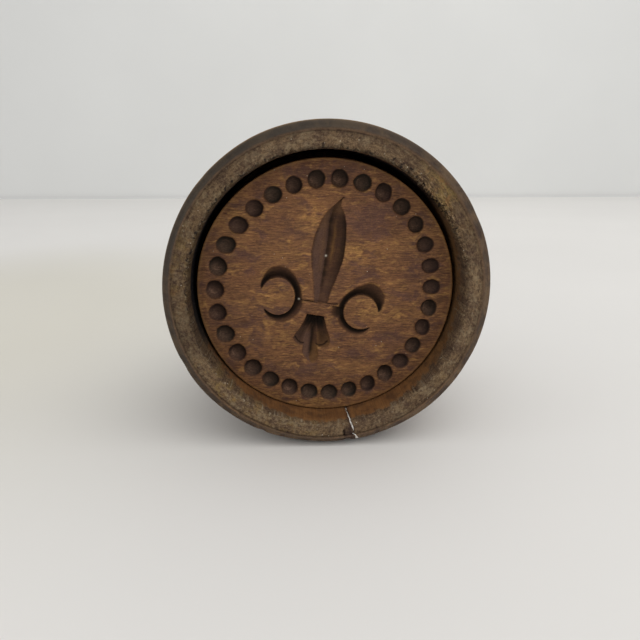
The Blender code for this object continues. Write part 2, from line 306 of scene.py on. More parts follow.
# Radius, depth, and step of the stretch that follows: over the rim and lip, back along the
# body, round the back end, through the guide hole and forward up the bore.
case_outline = [
    (BORE_R, 0.0, 0.26), (RIM_R, 0.0, 0.22),
    *arc(CASE_R - 3.3, 3.9, radius=3.3, turn=(66, 0), count=9, step=0.3),
    (CASE_R, 7.7, 0.3), (CASE_R - 0.2, 8.3, 0.3), (BODY_R, 8.8, 0.9),
    *(corner for line_y in SCORED_LINES for corner in scored_line(line_y)),
    (BODY_R, 69.8, 0.3),
    *arc(CASE_R - 1.5, 72.4, radius=1.5, turn=(60, -60), count=6, step=0.3),
    (BODY_R - 0.9, 74.9, 0.3), (BODY_R - 1.3, 75.6, 0.5),
    *arc(BODY_R - 15.4, 77.9, radius=14.0, turn=(0, -68), count=16, step=0.6),
    (36.0, 92.8, 0.6), (27.0, 94.0, 0.4), (23.9, 94.3, 0.3), (22.6, 94.9, 0.25),
    (22.3, 96.0, 0.25), (21.7, 96.7, 0.25), (20.6, CASE_END, 0.4),
    (GUIDE_R + 0.9, CASE_END, 0.25), (GUIDE_R + 0.25, CASE_END - 0.3, 0.25),
    (GUIDE_R + 0.05, CASE_END - 1.0, 1.2), (GUIDE_R + 0.05, BORE_DEPTH + 0.4, 0.4),
    (GUIDE_R + 0.4, BORE_DEPTH, 2.5), (BORE_R - 1.2, BORE_DEPTH, 0.4),
    (BORE_R - 0.3, BORE_DEPTH - 0.3, 0.4), (BORE_R, BORE_DEPTH - 1.2, 3.2),
    (BORE_R, 26.0, 1.1), (BORE_R, 15.0, 0.45), (BORE_R, 1.5, 0.26),
]  # fmt: skip
case_profile = resample(case_outline)
row_normals = outward(np.roll(case_profile, -1, 0) - np.roll(case_profile, 1, 0))
ROWS = len(case_profile)
COLS = 1000

row_r, row_y = case_profile[:, 0], case_profile[:, 1]
row_steps = np.linalg.norm(np.roll(case_profile, -1, 0) - case_profile, axis=1)
row_length = np.r_[0, np.cumsum(row_steps)[:-1]]

rim_rows = (row_y < 0.02) & (row_r <= RIM_R + 0.05)
bore_rows = (row_r < BORE_R + 0.02) & (row_y < BORE_DEPTH - 0.6) & (row_r > 30)
bottom_rows = (np.abs(row_y - BORE_DEPTH) < 0.9) & (row_r < BORE_R) & ~bore_rows
guide_rows = (row_r < GUIDE_R + 0.6) & (row_y > BORE_DEPTH)
hollow_rows = bore_rows | bottom_rows | guide_rows
outer_rows = ~(rim_rows | hollow_rows)

# ------------------------------------------------------------------------------------------
# Case: the split, a plane through the camera's place, a point on the bore and one on the lip
# ------------------------------------------------------------------------------------------
SPLIT_LENGTH = 46.0
SPLIT_RELEASE = 8.0  # behind the split the columns ease back to their own places
SPLIT_REACH = 60  # columns either side that make room for it
SPLIT_OPEN_REACH = 6.0  # columns that give way to its width
HALF_COLUMN = 180.0 / COLS


def ring_point(radius, degrees, y):
    angle = math.radians(degrees)
    return Vector((radius * math.sin(angle), MOUTH_Y + y, AXIS_Z + radius * math.cos(angle)))


split_bore = ring_point(BORE_R, 171.0, 12.7)
split_lip = ring_point(CASE_R, 168.9, 4.0)
split_normal = (split_bore - CAMERA).cross(split_lip - CAMERA).normalized()
if split_normal.x < 0:
    split_normal.negate()


def split_angle(radius, y):
    """Where the split's plane meets a circle of the case near its underside, degrees."""
    reach = (
        split_normal.dot(split_bore) - split_normal.y * (MOUTH_Y + y) - split_normal.z * AXIS_Z
    )
    span = np.hypot(split_normal.x, split_normal.z) * radius
    base = math.degrees(math.atan2(split_normal.x, split_normal.z))
    away = np.degrees(np.arccos(np.clip(reach / span, -1, 1)))
    one, two = (base + away) % 360, (base - away) % 360
    return np.where(np.abs(turn_gap(one, 170)) < np.abs(turn_gap(two, 170)), one, two)


# It wanders a little behind the rim, and jogs where it crosses it.
split_wander = 0.35 * noise(row_y * 0.35, row_r * 0.5, 3.0, seed=5)
split_wander += 0.22 * noise(row_y * 1.1, row_r * 1.4, 9.0, seed=6)
split_wander *= smooth(0.0, 2.5, row_y)
split_jog = smooth(52.9, 53.3, row_r) - smooth(53.6, 54.6, row_r)
split_jog *= 0.9 * smooth(3.0, 0.5, row_y)
split_centre = split_angle(np.maximum(row_r, 20.0), row_y) + (split_wander + split_jog)
# It narrows with depth and gapes at the lip.
half_width = 0.025 + 0.235 * np.clip(1 - row_y / SPLIT_LENGTH, 0, None) ** 0.7 * (
    1 + 0.25 * noise(row_length * 0.9, 1.3, seed=8)
)
half_width = half_width + 0.34 * smooth(54.0, 57.6, row_r) * smooth(9.0, 3.0, row_y)

column_angle = (np.arange(COLS) + 0.5) * 360.0 / COLS
SPLIT_COL = int(np.argmin(np.abs(turn_gap(column_angle, 170.0 - HALF_COLUMN))))
mid_angle = (column_angle[SPLIT_COL] + column_angle[SPLIT_COL + 1]) / 2
split_hold = smooth(SPLIT_LENGTH + SPLIT_RELEASE, SPLIT_LENGTH + 1, row_y) * (row_r > 40)
shift = split_hold * (split_centre - mid_angle)
squeeze = -split_hold * (np.degrees(half_width / row_r) - HALF_COLUMN)
angle = np.repeat(column_angle[None, :], ROWS, 0)
for j in range(-SPLIT_REACH, SPLIT_REACH + 2):
    col = SPLIT_COL + j
    away = min(abs(j), abs(j - 1))
    share = 1 - smooth(0, 1, away / SPLIT_REACH)
    side = 1 if j <= 0 else -1
    close = max(0.0, 1.0 - away / SPLIT_OPEN_REACH)
    angle[:, col] = column_angle[col] + shift * share + side * squeeze * close


# ------------------------------------------------------------------------------------------
# Case: worn and broken surface. Every array is rows along the outline by columns round it.
# ------------------------------------------------------------------------------------------
def all_round(row_values):
    return np.repeat(np.asarray(row_values, float)[:, None], COLS, 1)


theta = np.radians(angle)
radius, y = all_round(row_r), all_round(row_y)
normal_r, normal_y = all_round(row_normals[:, 0]), all_round(row_normals[:, 1])
x, z = radius * np.sin(theta), radius * np.cos(theta)
rim_mask, bore_mask, outer_mask = all_round(rim_rows), all_round(bore_rows), all_round(outer_rows)
# Lengths round the bore, the middle of the body and the rim's inner edge
bore_arc, body_arc, edge_arc = theta * BORE_R, theta * 58, theta * 48


def spots(size, depth, seed, octaves=4, gain=0.5):
    """Layered noise over x and z in cells of `size`, on the slice `depth`."""
    return fbm(x / size, z / size, depth, seed=seed, octaves=octaves, gain=gain)


def near(degrees, width):
    """1 at an angle, falling off over `width` degrees."""
    return bump(turn_gap(angle, degrees), 0, width)


# Growth rings: their centre lies beyond the lower left of the rim.
PITH_X, PITH_Z = -66.0, -58.0
ring_turn = np.arctan2(z - PITH_Z, x - PITH_X)
ring_distance = (
    np.hypot(x - PITH_X, z - PITH_Z)
    + 1.6 * spots(34.0, y / 160.0, seed=21, octaves=2)
    + 0.35 * noise(x / 6.0, z / 6.0, y / 60.0, seed=22)
)

# Rim face: torn end grain.
fuzz = spots(1.25, 0.4, seed=31, octaves=4, gain=0.62)
coarse = spots(5.5, 0.1, seed=32, octaves=3)
ring_ridges = np.sin(ring_distance * 2 * math.pi / 1.75) * 0.5 + 0.5
torn = smooth(-0.1, 0.45, spots(9.0, 0.7, seed=33, octaves=2) + 0.35 * near(48, 26) + 0.1)
pits = smooth(0.28, 0.55, spots(0.85, 2.0, seed=34, octaves=2))
shreds = np.abs(noise(ring_distance / 0.42, ring_turn * 26.0, seed=35))
rim_rough = (
    -0.16 - 0.22 * fuzz - 0.14 * coarse
    - torn * (0.10 * ring_ridges + 0.12 * shreds)
    - 0.32 * pits * (0.4 + 0.6 * torn)
)  # fmt: skip
rim_rough = np.minimum(rim_rough, -0.01)
displace = rim_mask * rim_rough

# The thin line scored near the rim's outer edge.
line_strength = periodic(
    {0: 0.9, 40: 0.25, 80: 0.2, 130: 0.5, 175: 1.0, 215: 1.0, 250: 0.6, 290: 0.35, 330: 0.7}, angle
)
line_r = 54.15 + 0.25 * noise(angle / 21.0, 0.5, seed=41)
rim_line = bump(radius, line_r, 0.26) * rim_mask * line_strength
displace -= 0.34 * rim_line

# Inner edge of the rim: broken away in small chips, more at the top and right.
edge_noise = fbm(bore_arc / 1.7, 0.2, 0.0, seed=51, octaves=4, gain=0.6)
edge_coarse = fbm(bore_arc / 7.5, 4.2, 0.0, seed=52, octaves=2)
chip = periodic(
    {0: 0.30, 40: 0.5, 66: 1.3, 90: 1.7, 118: 1.6, 145: 0.9, 180: 0.45, 225: 0.6, 260: 0.45,
     310: 0.3}, angle,
)  # fmt: skip
chip = chip + 1.5 * smooth(-0.12, 0.5, edge_noise + 0.55 * edge_coarse)
chip *= periodic(
    {0: 1.0, 35: 1.35, 60: 1.3, 95: 1.0, 140: 0.75, 185: 0.8, 230: 0.85, 270: 0.9, 320: 1.0}, angle
)


def chip_share(from_edge):
    """1 at the inner edge, 0 where the chip ends."""
    return np.clip(chip - from_edge, 0, None) / np.maximum(chip, 1e-3)


displace -= rim_mask * chip * 0.62 * chip_share(np.clip(radius - BORE_R, 0, None)) ** 1.5
displace -= bore_mask * np.clip(chip * 0.42 * chip_share(y) ** 1.6, 0, 1.1)

# Lip and outside: turned smooth, then handled, knocked and a little dented.
lathe = 0.016 * np.sin(y * 2 * math.pi / 1.15 + 2.2 * noise(y / 9.0, 0.5, seed=61))
lathe += 0.02 * noise(y / 0.8, angle / 120.0, seed=62)
dents = smooth(0.42, 0.62, spots(7.0, y / 7.0, seed=63, octaves=2))
knocks = smooth(0.40, 0.60, spots(2.2, y / 2.2, seed=64, octaves=2))
checks = smooth(0.30, 0.62, noise(body_arc / 0.75, y / 26.0, seed=65))
checks = checks * smooth(0.0, 0.4, fbm(body_arc / 14.0, y / 40.0, seed=66, octaves=2))
outer_wear = (
    -0.035 + lathe - 0.16 * dents - 0.12 * knocks - 0.14 * checks * smooth(7.5, 10.0, y)
)
displace += outer_mask * np.minimum(outer_wear, 0.0)
# Bruises on the lip's edge: angle and width in degrees, depth.
for degrees, width, deep in (
    (63, 3.2, 0.22), (118, 3.0, 0.10), (243, 2.6, 0.28), (312, 1.8, 0.22), (205, 1.4, 0.3),
):  # fmt: skip
    displace -= outer_mask * deep * near(degrees, width) * bump(y, 2.2, 2.0) * (radius > 50)

# Bore wall: fine streaks along the grain, and short splits running in from the mouth.
streaks = noise(bore_arc / 0.42, y / 30.0, seed=71) + 0.6 * noise(bore_arc / 1.3, y / 44.0, seed=72)
displace += bore_mask * np.minimum(-0.02 - 0.045 * streaks, 0.0)
ticks = smooth(0.34, 0.52, noise(bore_arc / 0.62, y / 9.0, 6.0, seed=73))
ticks = ticks * smooth(0.05, 0.35, noise(bore_arc / 6.0, y / 6.0, 2.0, seed=74))
ticks = ticks * bore_mask * smooth(7.0, 3.0, y)
displace -= 0.35 * ticks

# Splintered piece beside the split, sunk a little, and the second crack that bounds it.
second_gap = turn_gap(angle, 173.6 + 0.5 * noise(radius / 1.6, y / 3.0, seed=81))
second_crack = bump(second_gap, 0, 0.33) * smooth(50.0, 51.2, radius) * smooth(12.0, 5.0, y)
second_crack = second_crack * smooth(-0.35, 0.1, noise(radius / 1.3, 0.4, y / 1.5, seed=82))
displace -= 1.3 * second_crack
displace -= 0.35 * near(172.6, 1.15) * smooth(55.5, 57.4, radius) * smooth(10.0, 3.5, y)
from_split = turn_gap(angle, 170.2)
splinter = smooth(-0.2, 0.6, from_split) * smooth(3.9, 2.6, from_split + 0.8 * coarse)
splinter = splinter * smooth(49.2, 52.6, radius + 1.4 * edge_noise) * (y < 8)
splinter = splinter * (0.45 + 0.55 * smooth(-0.25, 0.25, spots(1.3, 3.0, seed=83, octaves=3)))
displace -= 0.12 * splinter * (1 + 0.8 * fuzz)

lip_wear = periodic(
    {0: 0.0, 40: 0.0, 90: 0.0, 135: 0.1, 160: 0.45, 185: 0.75, 205: 0.35, 235: 0.05, 262: 0.3,
     292: 0.6, 315: 0.35, 340: 0.0}, angle,
)  # fmt: skip
lip_wear = lip_wear * smooth(14.0, 6.0, y) * smooth(RIM_R - 0.5, RIM_R + 1.6, radius)
displace -= outer_mask * lip_wear

# How far the ragged inner edge stands in from (-), or back from, a true circle.
mouth_shape = periodic(
    {0: 0.0, 22: 0.0, 42: -0.8, 62: -0.9, 78: -0.4, 98: 0.0, 125: 0.25, 150: 0.45, 180: 0.5,
     205: 0.15, 235: 0.1, 262: 0.35, 285: 0.1, 308: 0.3, 335: 0.25}, angle,
)  # fmt: skip
mouth_shape = mouth_shape + 0.42 * edge_noise * periodic(
    {0: 1.7, 60: 1.6, 90: 0.9, 150: 0.4, 210: 0.5, 250: 1.2, 290: 1.8}, angle
)
mouth_fade = rim_mask * smooth(BORE_R + 3.2, BORE_R, radius) + bore_mask * smooth(4.0, 0.0, y)
worn_r = radius + normal_r * displace + mouth_shape * mouth_fade
worn_y = np.maximum(y + normal_y * displace, 0.0)
# The bore never closes on the print that rests in it.
by_bore = (bore_mask > 0) | ((rim_mask > 0) & (radius < BORE_R + 3.5))
worn_r = np.where(by_bore, np.maximum(worn_r, BORE_R - 1.1), worn_r)
underside = (bore_mask > 0) & (np.cos(theta) < -0.2)
worn_r = np.where(underside, np.maximum(worn_r, BORE_R - 0.02), worn_r)
surface = np.stack([worn_r * np.sin(theta), worn_y, worn_r * np.cos(theta)], -1)

# ------------------------------------------------------------------------------------------
# Case: faces, left open along the split
# ------------------------------------------------------------------------------------------
index = np.arange(ROWS * COLS).reshape(ROWS, COLS)
next_row = np.roll(index, -1, 0)
quads = np.stack([index, next_row, np.roll(next_row, -1, 1), np.roll(index, -1, 1)], -1)
in_split = (row_y < SPLIT_LENGTH) & (row_r > 40)
open_rows = in_split & np.roll(in_split, -1)
keep = np.ones((ROWS, COLS), bool)
keep[open_rows, SPLIT_COL] = False
# The open rows in order: from the bore, over the rim, to the outside.
first_open = np.flatnonzero(open_rows & ~np.roll(open_rows, 1))[0]
chain = (first_open + np.arange(open_rows.sum() + 1)) % ROWS
left_edge = index[chain, SPLIT_COL]
right_edge = index[chain, SPLIT_COL + 1]
case_faces = [
    quads[keep],
    left_edge[None, :],
    right_edge[::-1][None, :],
    np.array([[left_edge[0], right_edge[0], right_edge[-1], left_edge[-1]]]),
]

# Pale filler along the front of the split, standing a little below the wood.
bead_rows = chain[:-1]
bead_rows = bead_rows[
    (bore_rows[bead_rows] & (row_y[bead_rows] < 17.5)) | (row_y[bead_rows] < 8.0)
]
bead_r, bead_y, bead_count = row_r[bead_rows], row_y[bead_rows], np.arange(len(bead_rows))
sink = 0.06 + 0.22 * smooth(0.0, 0.5, noise(bead_count / 3.2, 0.5, seed=151))
sink = sink + 0.5 * smooth(0.34, 0.5, noise(bead_count / 6.0, 4.5, seed=152))
sink = sink + np.where(
    bore_rows[bead_rows],
    0.9 * bump(bead_y, 7.6, 0.8) + 0.5 * bump(bead_y, 11.6, 0.6),
    0.9 * bump(bead_r, 53.2, 0.35) * (bead_y < 3.0),
)
BEAD_THICK = 1.3


def sunk(column, amount):
    """The split's edge at a column, moved into the wood."""
    turn = theta[bead_rows, column]
    out_r, out_y = row_normals[bead_rows, 0], row_normals[bead_rows, 1]
    normal = np.stack([out_r * np.sin(turn), out_y, out_r * np.cos(turn)], -1)
    return surface[bead_rows, column] - normal * amount[:, None]


bead_corners = (
    (SPLIT_COL, sink), (SPLIT_COL + 1, sink),
    (SPLIT_COL + 1, sink + BEAD_THICK), (SPLIT_COL, sink + BEAD_THICK),
)  # fmt: skip
bead = np.stack([sunk(column, amount) for column, amount in bead_corners], 1).reshape(-1, 3)
case_points = np.concatenate([surface.reshape(-1, 3), bead])
bead_index = ROWS * COLS + np.arange(len(bead)).reshape(-1, 4)
for k in range(4):
    one, two = bead_index[:, k], bead_index[:, (k + 1) % 4]
    case_faces.append(np.stack([one[:-1], one[1:], two[1:], two[:-1]], -1))
case_faces.append(bead_index[:1])
case_faces.append(bead_index[-1:, ::-1])

# ------------------------------------------------------------------------------------------
# Case: masks for the material
# ------------------------------------------------------------------------------------------
yellow = 0
# Strength, angle, width, noise from and to, cell size, slice, seed, lift
for strength, degrees, width, low, high, size, depth, seed, lift in (
    (0.95, 50, 13, -0.25, 0.35, 6.0, 5.0, 91, 0.1),
    (0.7, 282, 16, -0.1, 0.4, 4.0, 6.0, 92, 0.1),
    (0.9, 226, 15, -0.1, 0.4, 3.4, 7.0, 93, 0.0),
    (0.7, 196, 14, -0.1, 0.4, 3.0, 8.0, 94, 0.0),
    (0.2, 130, 18, -0.1, 0.5, 5.0, 8.5, 95, 0.0),
):
    patch = smooth(low, high, spots(size, depth, seed=seed, octaves=3) + lift)
    yellow = yellow + strength * near(degrees, width) * patch

pale = 0.55 * smooth(1.8, 0.2, radius - BORE_R)
pale = pale * smooth(0.18, 0.45, fbm(edge_arc / 0.9, radius / 0.9, seed=144, octaves=2))
pale = pale * periodic(
    {0: 0.7, 60: 0.5, 120: 0.5, 180: 0.7, 205: 1.4, 250: 0.8, 300: 0.9}, angle
)
pale = pale + smooth(0.30, 0.62, spots(1.1, 3.0, seed=96, octaves=3, gain=0.7)) * (
    0.5 + 0.9 * near(205, 26) + 0.6 * near(50, 24) + 0.4 * near(135, 22)
)
# Darker where the rim's torn grain sinks deepest by the mouth (painted shade), along the scored
# line, the splinter and the second crack, and in one patch.
mouth_edge = rim_mask + bore_mask * smooth(1.2, 0.0, y)
dark = smooth(0.15, 0.9, -rim_rough - 0.16) * mouth_edge
dark = dark + 0.9 * rim_line + 1.1 * splinter + 1.3 * second_crack + 0.375 * near(255, 12)
split_dark = near(170.6, 0.9) * (radius > 47) * (y < 30)
split_dark = np.maximum(split_dark, np.maximum(second_crack, 0.8 * splinter))

# How far down the bore the raw, weathered grain goes.
raw_depth = periodic(
    {0: 3.0, 20: 6.0, 42: 9.0, 62: 8.0, 80: 9.0, 100: 9.0, 125: 6.0, 155: 2.6, 190: 2.2, 215: 4.5,
     238: 12.0, 258: 20.0, 292: 20.0, 318: 14.0, 340: 5.0}, angle,
)  # fmt: skip
raw_edge = fbm(edge_arc / 2.2, y / 4.0, 0.0, seed=97, octaves=5, gain=0.70)
raw_bore = bore_mask * smooth(1.16, 0.70, y / raw_depth + 1.7 * raw_edge)
rim_edge = radius + 0.5 * spots(1.8, 2.0, seed=98, octaves=3)

# Painted shadow: the bore wall beside the print and bits of the rim's inner edge go near black.
gap_shadow_edge = fbm(edge_arc / 3.4, y / 4.0, 0.0, seed=99, octaves=4, gain=0.6)
gap_shadow_paint = (
    bore_mask
    * periodic(
        {0: 1.0, 30: 1.0, 48: 0.85, 62: 0.3, 78: 0.0, 218: 0.0, 238: 0.35, 254: 0.9, 270: 1.0,
         330: 1.0}, angle,
    )
    * smooth(5.8, 8.8, y + 2.2 * gap_shadow_edge)
    * smooth(30.0, 20.0, y)
)  # fmt: skip
edge_gap_shadow_noise = fbm(bore_arc / 1.6, radius / 2.6, 3.0, seed=146, octaves=4, gain=0.62)
edge_gap_shadow = (
    rim_mask
    * smooth(0.30, -0.25, (radius - BORE_R) - 3.6 * np.clip(0.04 + 1.5 * edge_gap_shadow_noise, 0, 0.6))
    * periodic(
        {0: 0.85, 30: 0.95, 60: 0.9, 80: 0.3, 95: 0.0, 225: 0.0, 250: 0.5, 275: 0.9, 335: 0.95},
        angle,
    )
)

fray = np.clip(near(50, 25) + 0.35 * near(285, 30) + 0.25 * near(125, 30), 0, 1)
fray = fray * smooth(BORE_R + 5.0, BORE_R + 0.6, radius + 1.6 * spots(3.0, 4.0, seed=100, octaves=3))
fray = fray * (rim_mask + bore_mask * smooth(4.0, 0.0, y))

# Tone of the lip round the case; from about 145 to 195 degrees, its underside, it is painted lighter
# as painted light against the shade there.
lip_tone_and_light = periodic(
    {0: 0.64, 15: 0.76, 30: 0.79, 45: 0.90, 60: 0.88, 90: 1.04, 105: 0.96, 120: 1.08, 145: 1.14,
     170: 1.26, 195: 1.20, 212: 0.92, 240: 0.74, 270: 0.70, 300: 0.58, 325: 0.51, 345: 0.60},
    angle,
) * (1 + 0.15 * fbm(theta * 16.0, y / 5.0, seed=141, octaves=3))  # fmt: skip
rim_tone = periodic(
    {0: 0.93, 30: 0.88, 60: 0.88, 90: 0.94, 120: 0.91, 138: 0.87, 155: 0.91, 180: 0.93, 225: 0.95,
     255: 0.77, 280: 0.79, 300: 0.78, 315: 0.74, 335: 0.87}, angle,
)  # fmt: skip
outer_wobble = 0.9 * spots(3.0, 1.0, seed=142, octaves=3)
rim_tone = rim_tone * (1 - 0.28 * smooth(52.6, 54.4, radius + outer_wobble))
inner_wobble = 0.8 * spots(1.6, 1.0, seed=143, octaves=3)
inner_shade = periodic(
    {0: 0.34, 50: 0.30, 75: 0.10, 120: 0.06, 180: 0.04, 230: 0.12, 290: 0.28}, angle
)
rim_tone = rim_tone * (
    1 - inner_shade * smooth(BORE_R + 1.7, BORE_R + 0.2, radius + inner_wobble)
)
# Painted highlight: a thin warm line along the lip's outer edge, strongest at the upper left.
lip_edge_highlight = periodic(
    {0: 0.70, 15: 0.65, 40: 0.50, 80: 0.25, 105: 0.35, 130: 0.25, 180: 0.28, 230: 0.25, 270: 0.45,
     300: 0.85, 325: 1.0, 345: 0.9}, angle,
)  # fmt: skip
groove = sum(bump(y, line_y, 0.55) for line_y in (*SCORED_LINES, 69.9, 75.2)) + bump(y, 8.7, 0.4)

case_masks = {
    "rim": rim_mask * smooth(RIM_R + 0.05, RIM_R - 0.9, rim_edge) + raw_bore,
    "bore": all_round(hollow_rows) * smooth(0.0, 1.0, y),
    "yellow": np.clip(yellow, 0, 1),
    "pale": np.clip(pale, 0, 1),
    "dark": np.clip(dark, 0, 1),
    "ringd": ring_distance,
    "ring_along": ring_turn * 90.0 + 0.8 * noise(x / 7.0, z / 7.0, seed=145),
    "turn": theta,
    "lip": smooth(RIM_R - 0.6, RIM_R + 0.5, radius) * smooth(10.0, 7.5, y),
    "back": outer_mask * (y > 80) * (radius < 52),
    "split": split_dark,
    # Painted shade where the rim's torn grain sinks, painted light where it stands high.
    "relief_light_and_shade": np.where(rim_mask > 0, np.clip(0.5 + (rim_rough + 0.30) * 1.4, 0, 1), 0.5),
    "lip_tone_and_light": lip_tone_and_light,
    "rim_tone": rim_tone,
    "lip_edge_highlight": bump(y, 3.45, 0.85) * lip_edge_highlight * outer_mask,
    "filler": np.zeros_like(radius),
    "mouth": smooth(7.0, 0.5, y) * bore_mask,
    "ticks": ticks,
    "gap_shadow_paint": np.clip(np.maximum(gap_shadow_paint, 0.92 * edge_gap_shadow), 0, 1),
    "fray": fray,
    "radius": radius,
    "groove": np.clip(groove, 0, 1) * outer_mask,
}
bead_masks = {"filler": 1.0, "rim_tone": 1.0, "lip_tone_and_light": 1.0}
case_masks = {
    key: np.r_[values.ravel(), np.full(len(bead), bead_masks.get(key, 0.0))]
    for key, values in case_masks.items()
}
case = mesh_object("case_turned", case_points, case_faces, case_masks, AXIS_Z, MOUTH_Y)

# ------------------------------------------------------------------------------------------
# Print: the carved motif, a leaning lily with a curl either side
# ------------------------------------------------------------------------------------------
LEAN = math.radians(11.2)
MOTIF_X, MOTIF_Z = -3.2, -7.6

# Hollow cuts in the motif's own axes: z from low to high; x of the left side, the valley and the
# right side, and the depth, each as {z: value}; the bow of the two slopes; the share of the
# depth that drops straight down at each side; and how far the ends fade out.
FLAME = dict(
    low=2.55, high=41.6,
    left={2.4: -2.0, 7.1: -3.1, 10.6: -3.9, 16.8: -5.6, 21.5: -6.4, 25.6: -6.35, 29.5: -5.6,
          33.7: -4.6, 36.6: -2.9, 38.6: -1.2, 41.8: 1.3},
    valley={2.4: -0.1, 9.8: -0.4, 20.0: -0.8, 28.0: -1.3, 32.0: -1.8, 36.0: -1.5, 38.6: -0.7,
            40.6: 0.4, 41.8: 1.5},
    right={2.4: 3.3, 6.5: 3.5, 11.4: 4.4, 15.9: 5.2, 21.0: 5.65, 26.4: 5.3, 32.0: 4.3, 36.4: 2.6,
           38.4: 1.2, 40.6: 1.0, 41.8: 1.8},
    depth={2.4: 1.7, 10.0: 2.2, 20.0: 2.7, 30.0: 2.6, 36.0: 2.0, 39.0: 1.3, 41.8: 0.7},
    bows=(1.0, 0.6), drops=(0.10, 0.22), end_fade=0.3,
)  # fmt: skip
LEFT_PETAL = dict(
    low=-14.4, high=-2.8,
    left={-14.6: -4.6, -13.6: -6.0, -12.4: -6.9, -11.1: -6.5, -9.4: -5.6, -7.4: -4.8, -5.4: -4.1,
          -2.8: -3.6},
    valley={-14.6: -3.6, -12.4: -4.4, -9.4: -3.8, -5.4: -1.8, -2.8: -0.9},
    right={-14.6: -2.2, -12.4: -2.2, -9.4: -1.6, -5.4: 0.4, -2.8: 0.6},
    depth={-14.6: 0.7, -13.8: 1.2, -12.0: 1.7, -8.0: 2.2, -4.5: 2.8, -2.8: 2.9},
    bows=(0.6, 0.8), drops=(0.25, 0.1), end_fade=0.35,
)  # fmt: skip
RIGHT_PETAL = dict(
    low=-14.0, high=-2.7,
    left={-14.2: 1.8, -12.0: 1.6, -9.0: 0.9, -5.4: -0.6, -2.7: -0.8},
    valley={-14.2: 3.4, -12.0: 3.9, -9.0: 3.2, -5.4: 1.6, -2.7: 0.9},
    right={-14.2: 6.0, -13.0: 6.9, -11.6: 7.1, -10.7: 6.95, -9.0: 6.2, -7.3: 5.2, -4.7: 4.0,
           -2.7: 3.1},
    depth={-14.2: 0.7, -13.4: 1.2, -12.0: 1.7, -8.0: 2.2, -4.5: 2.8, -2.7: 2.9},
    bows=(0.8, 0.6), drops=(0.1, 0.25), end_fade=0.35,
)  # fmt: skip
TAIL = dict(
    low=-20.6, high=-4.0,
    left={-20.8: 1.0, -19.6: -0.6, -18.1: -2.1, -17.0: -2.7, -14.6: -2.85, -11.8: -3.0,
          -9.0: -2.8, -4.0: -1.6},
    valley={-20.8: 1.6, -19.2: 0.6, -16.7: 0.4, -12.1: 0.0, -7.5: -0.3, -4.0: -0.2},
    right={-20.8: 3.0, -19.6: 3.7, -17.7: 3.8, -15.0: 3.1, -13.6: 2.6, -9.0: 1.9, -4.0: 1.2},
    depth={-20.8: 0.5, -19.5: 1.1, -17.0: 1.8, -12.0: 2.4, -4.0: 2.9},
    bows=(0.85, 0.8), drops=(0.2, 0.2), end_fade=0.3,
)  # fmt: skip

# The uncut eye inside each curl: centre x and z, radii across and up, on the face.
LEFT_EYE = (-17.7, -2.6, 6.35, 7.1)
RIGHT_EYE = (12.9, -9.1, 6.5, 6.6)
# Curls: start and sweep in degrees, {share of the sweep: width}, depth gained per width.
LEFT_CURL = dict(
    eye=LEFT_EYE, start=-66, sweep=296,
    widths={0: 0.5, 0.08: 2.2, 0.20: 4.4, 0.27: 4.5, 0.35: 3.6, 0.45: 2.9, 0.53: 2.8, 0.60: 3.6,
            0.68: 3.4, 0.78: 3.2, 0.88: 2.6, 0.95: 1.6, 1: 0.5},
    slope=0.62,
)  # fmt: skip
RIGHT_CURL = dict(
    eye=RIGHT_EYE, start=90, sweep=-299,
    widths={0: 0.5, 0.06: 2.6, 0.14: 5.2, 0.22: 5.8, 0.30: 3.8, 0.42: 2.7, 0.52: 2.5, 0.60: 2.6,
            0.70: 3.0, 0.80: 2.8, 0.88: 2.5, 0.95: 1.4, 1: 0.4},
    slope=0.58,
)  # fmt: skip
# Short arcs cut in the ends of the petals, as (z, x) points in the motif's axes.
PETAL_ARCS = (
    ((-12.0, -6.1), (-12.5, -5.7), (-13.3, -4.9), (-13.9, -3.8), (-13.8, -2.6)),
    ((-13.4, 2.2), (-13.8, 3.3), (-13.5, 4.3), (-12.9, 5.2), (-11.7, 6.1)),
)


def to_motif(face_x, face_z):
    """From the face to the motif's own axes, x across it and z up it."""
    x, z = face_x - MOTIF_X, face_z - MOTIF_Z
    cos, sin = math.cos(LEAN), math.sin(LEAN)
    return x * cos - z * sin, x * sin + z * cos


def facet_cut(x, z, low, high, left, valley, right, depth, bows, drops, end_fade):
    """Depth of a hollow cut, and x of its left side, valley and right side."""
    left_x, valley_x, right_x, deepest = (along(table, z) for table in (left, valley, right, depth))
    from_left = np.clip((x - left_x) / np.maximum(valley_x - left_x, 0.05), 0, 1)
    from_right = np.clip((right_x - x) / np.maximum(right_x - valley_x, 0.05), 0, 1)
    from_left, from_right = (
        drop * smooth(0.0, 0.3, gap) + (1 - drop) * share**bow
        for drop, gap, share, bow in zip(
            drops, (x - left_x, right_x - x), (from_left, from_right), bows
        )
    )
    cut = deepest * np.where(x < valley_x, from_left, from_right)
    ends = smooth(low - end_fade, low, z) * smooth(high + end_fade, high, z)
    return cut * ends * (x > left_x) * (x < right_x), left_x, valley_x, right_x


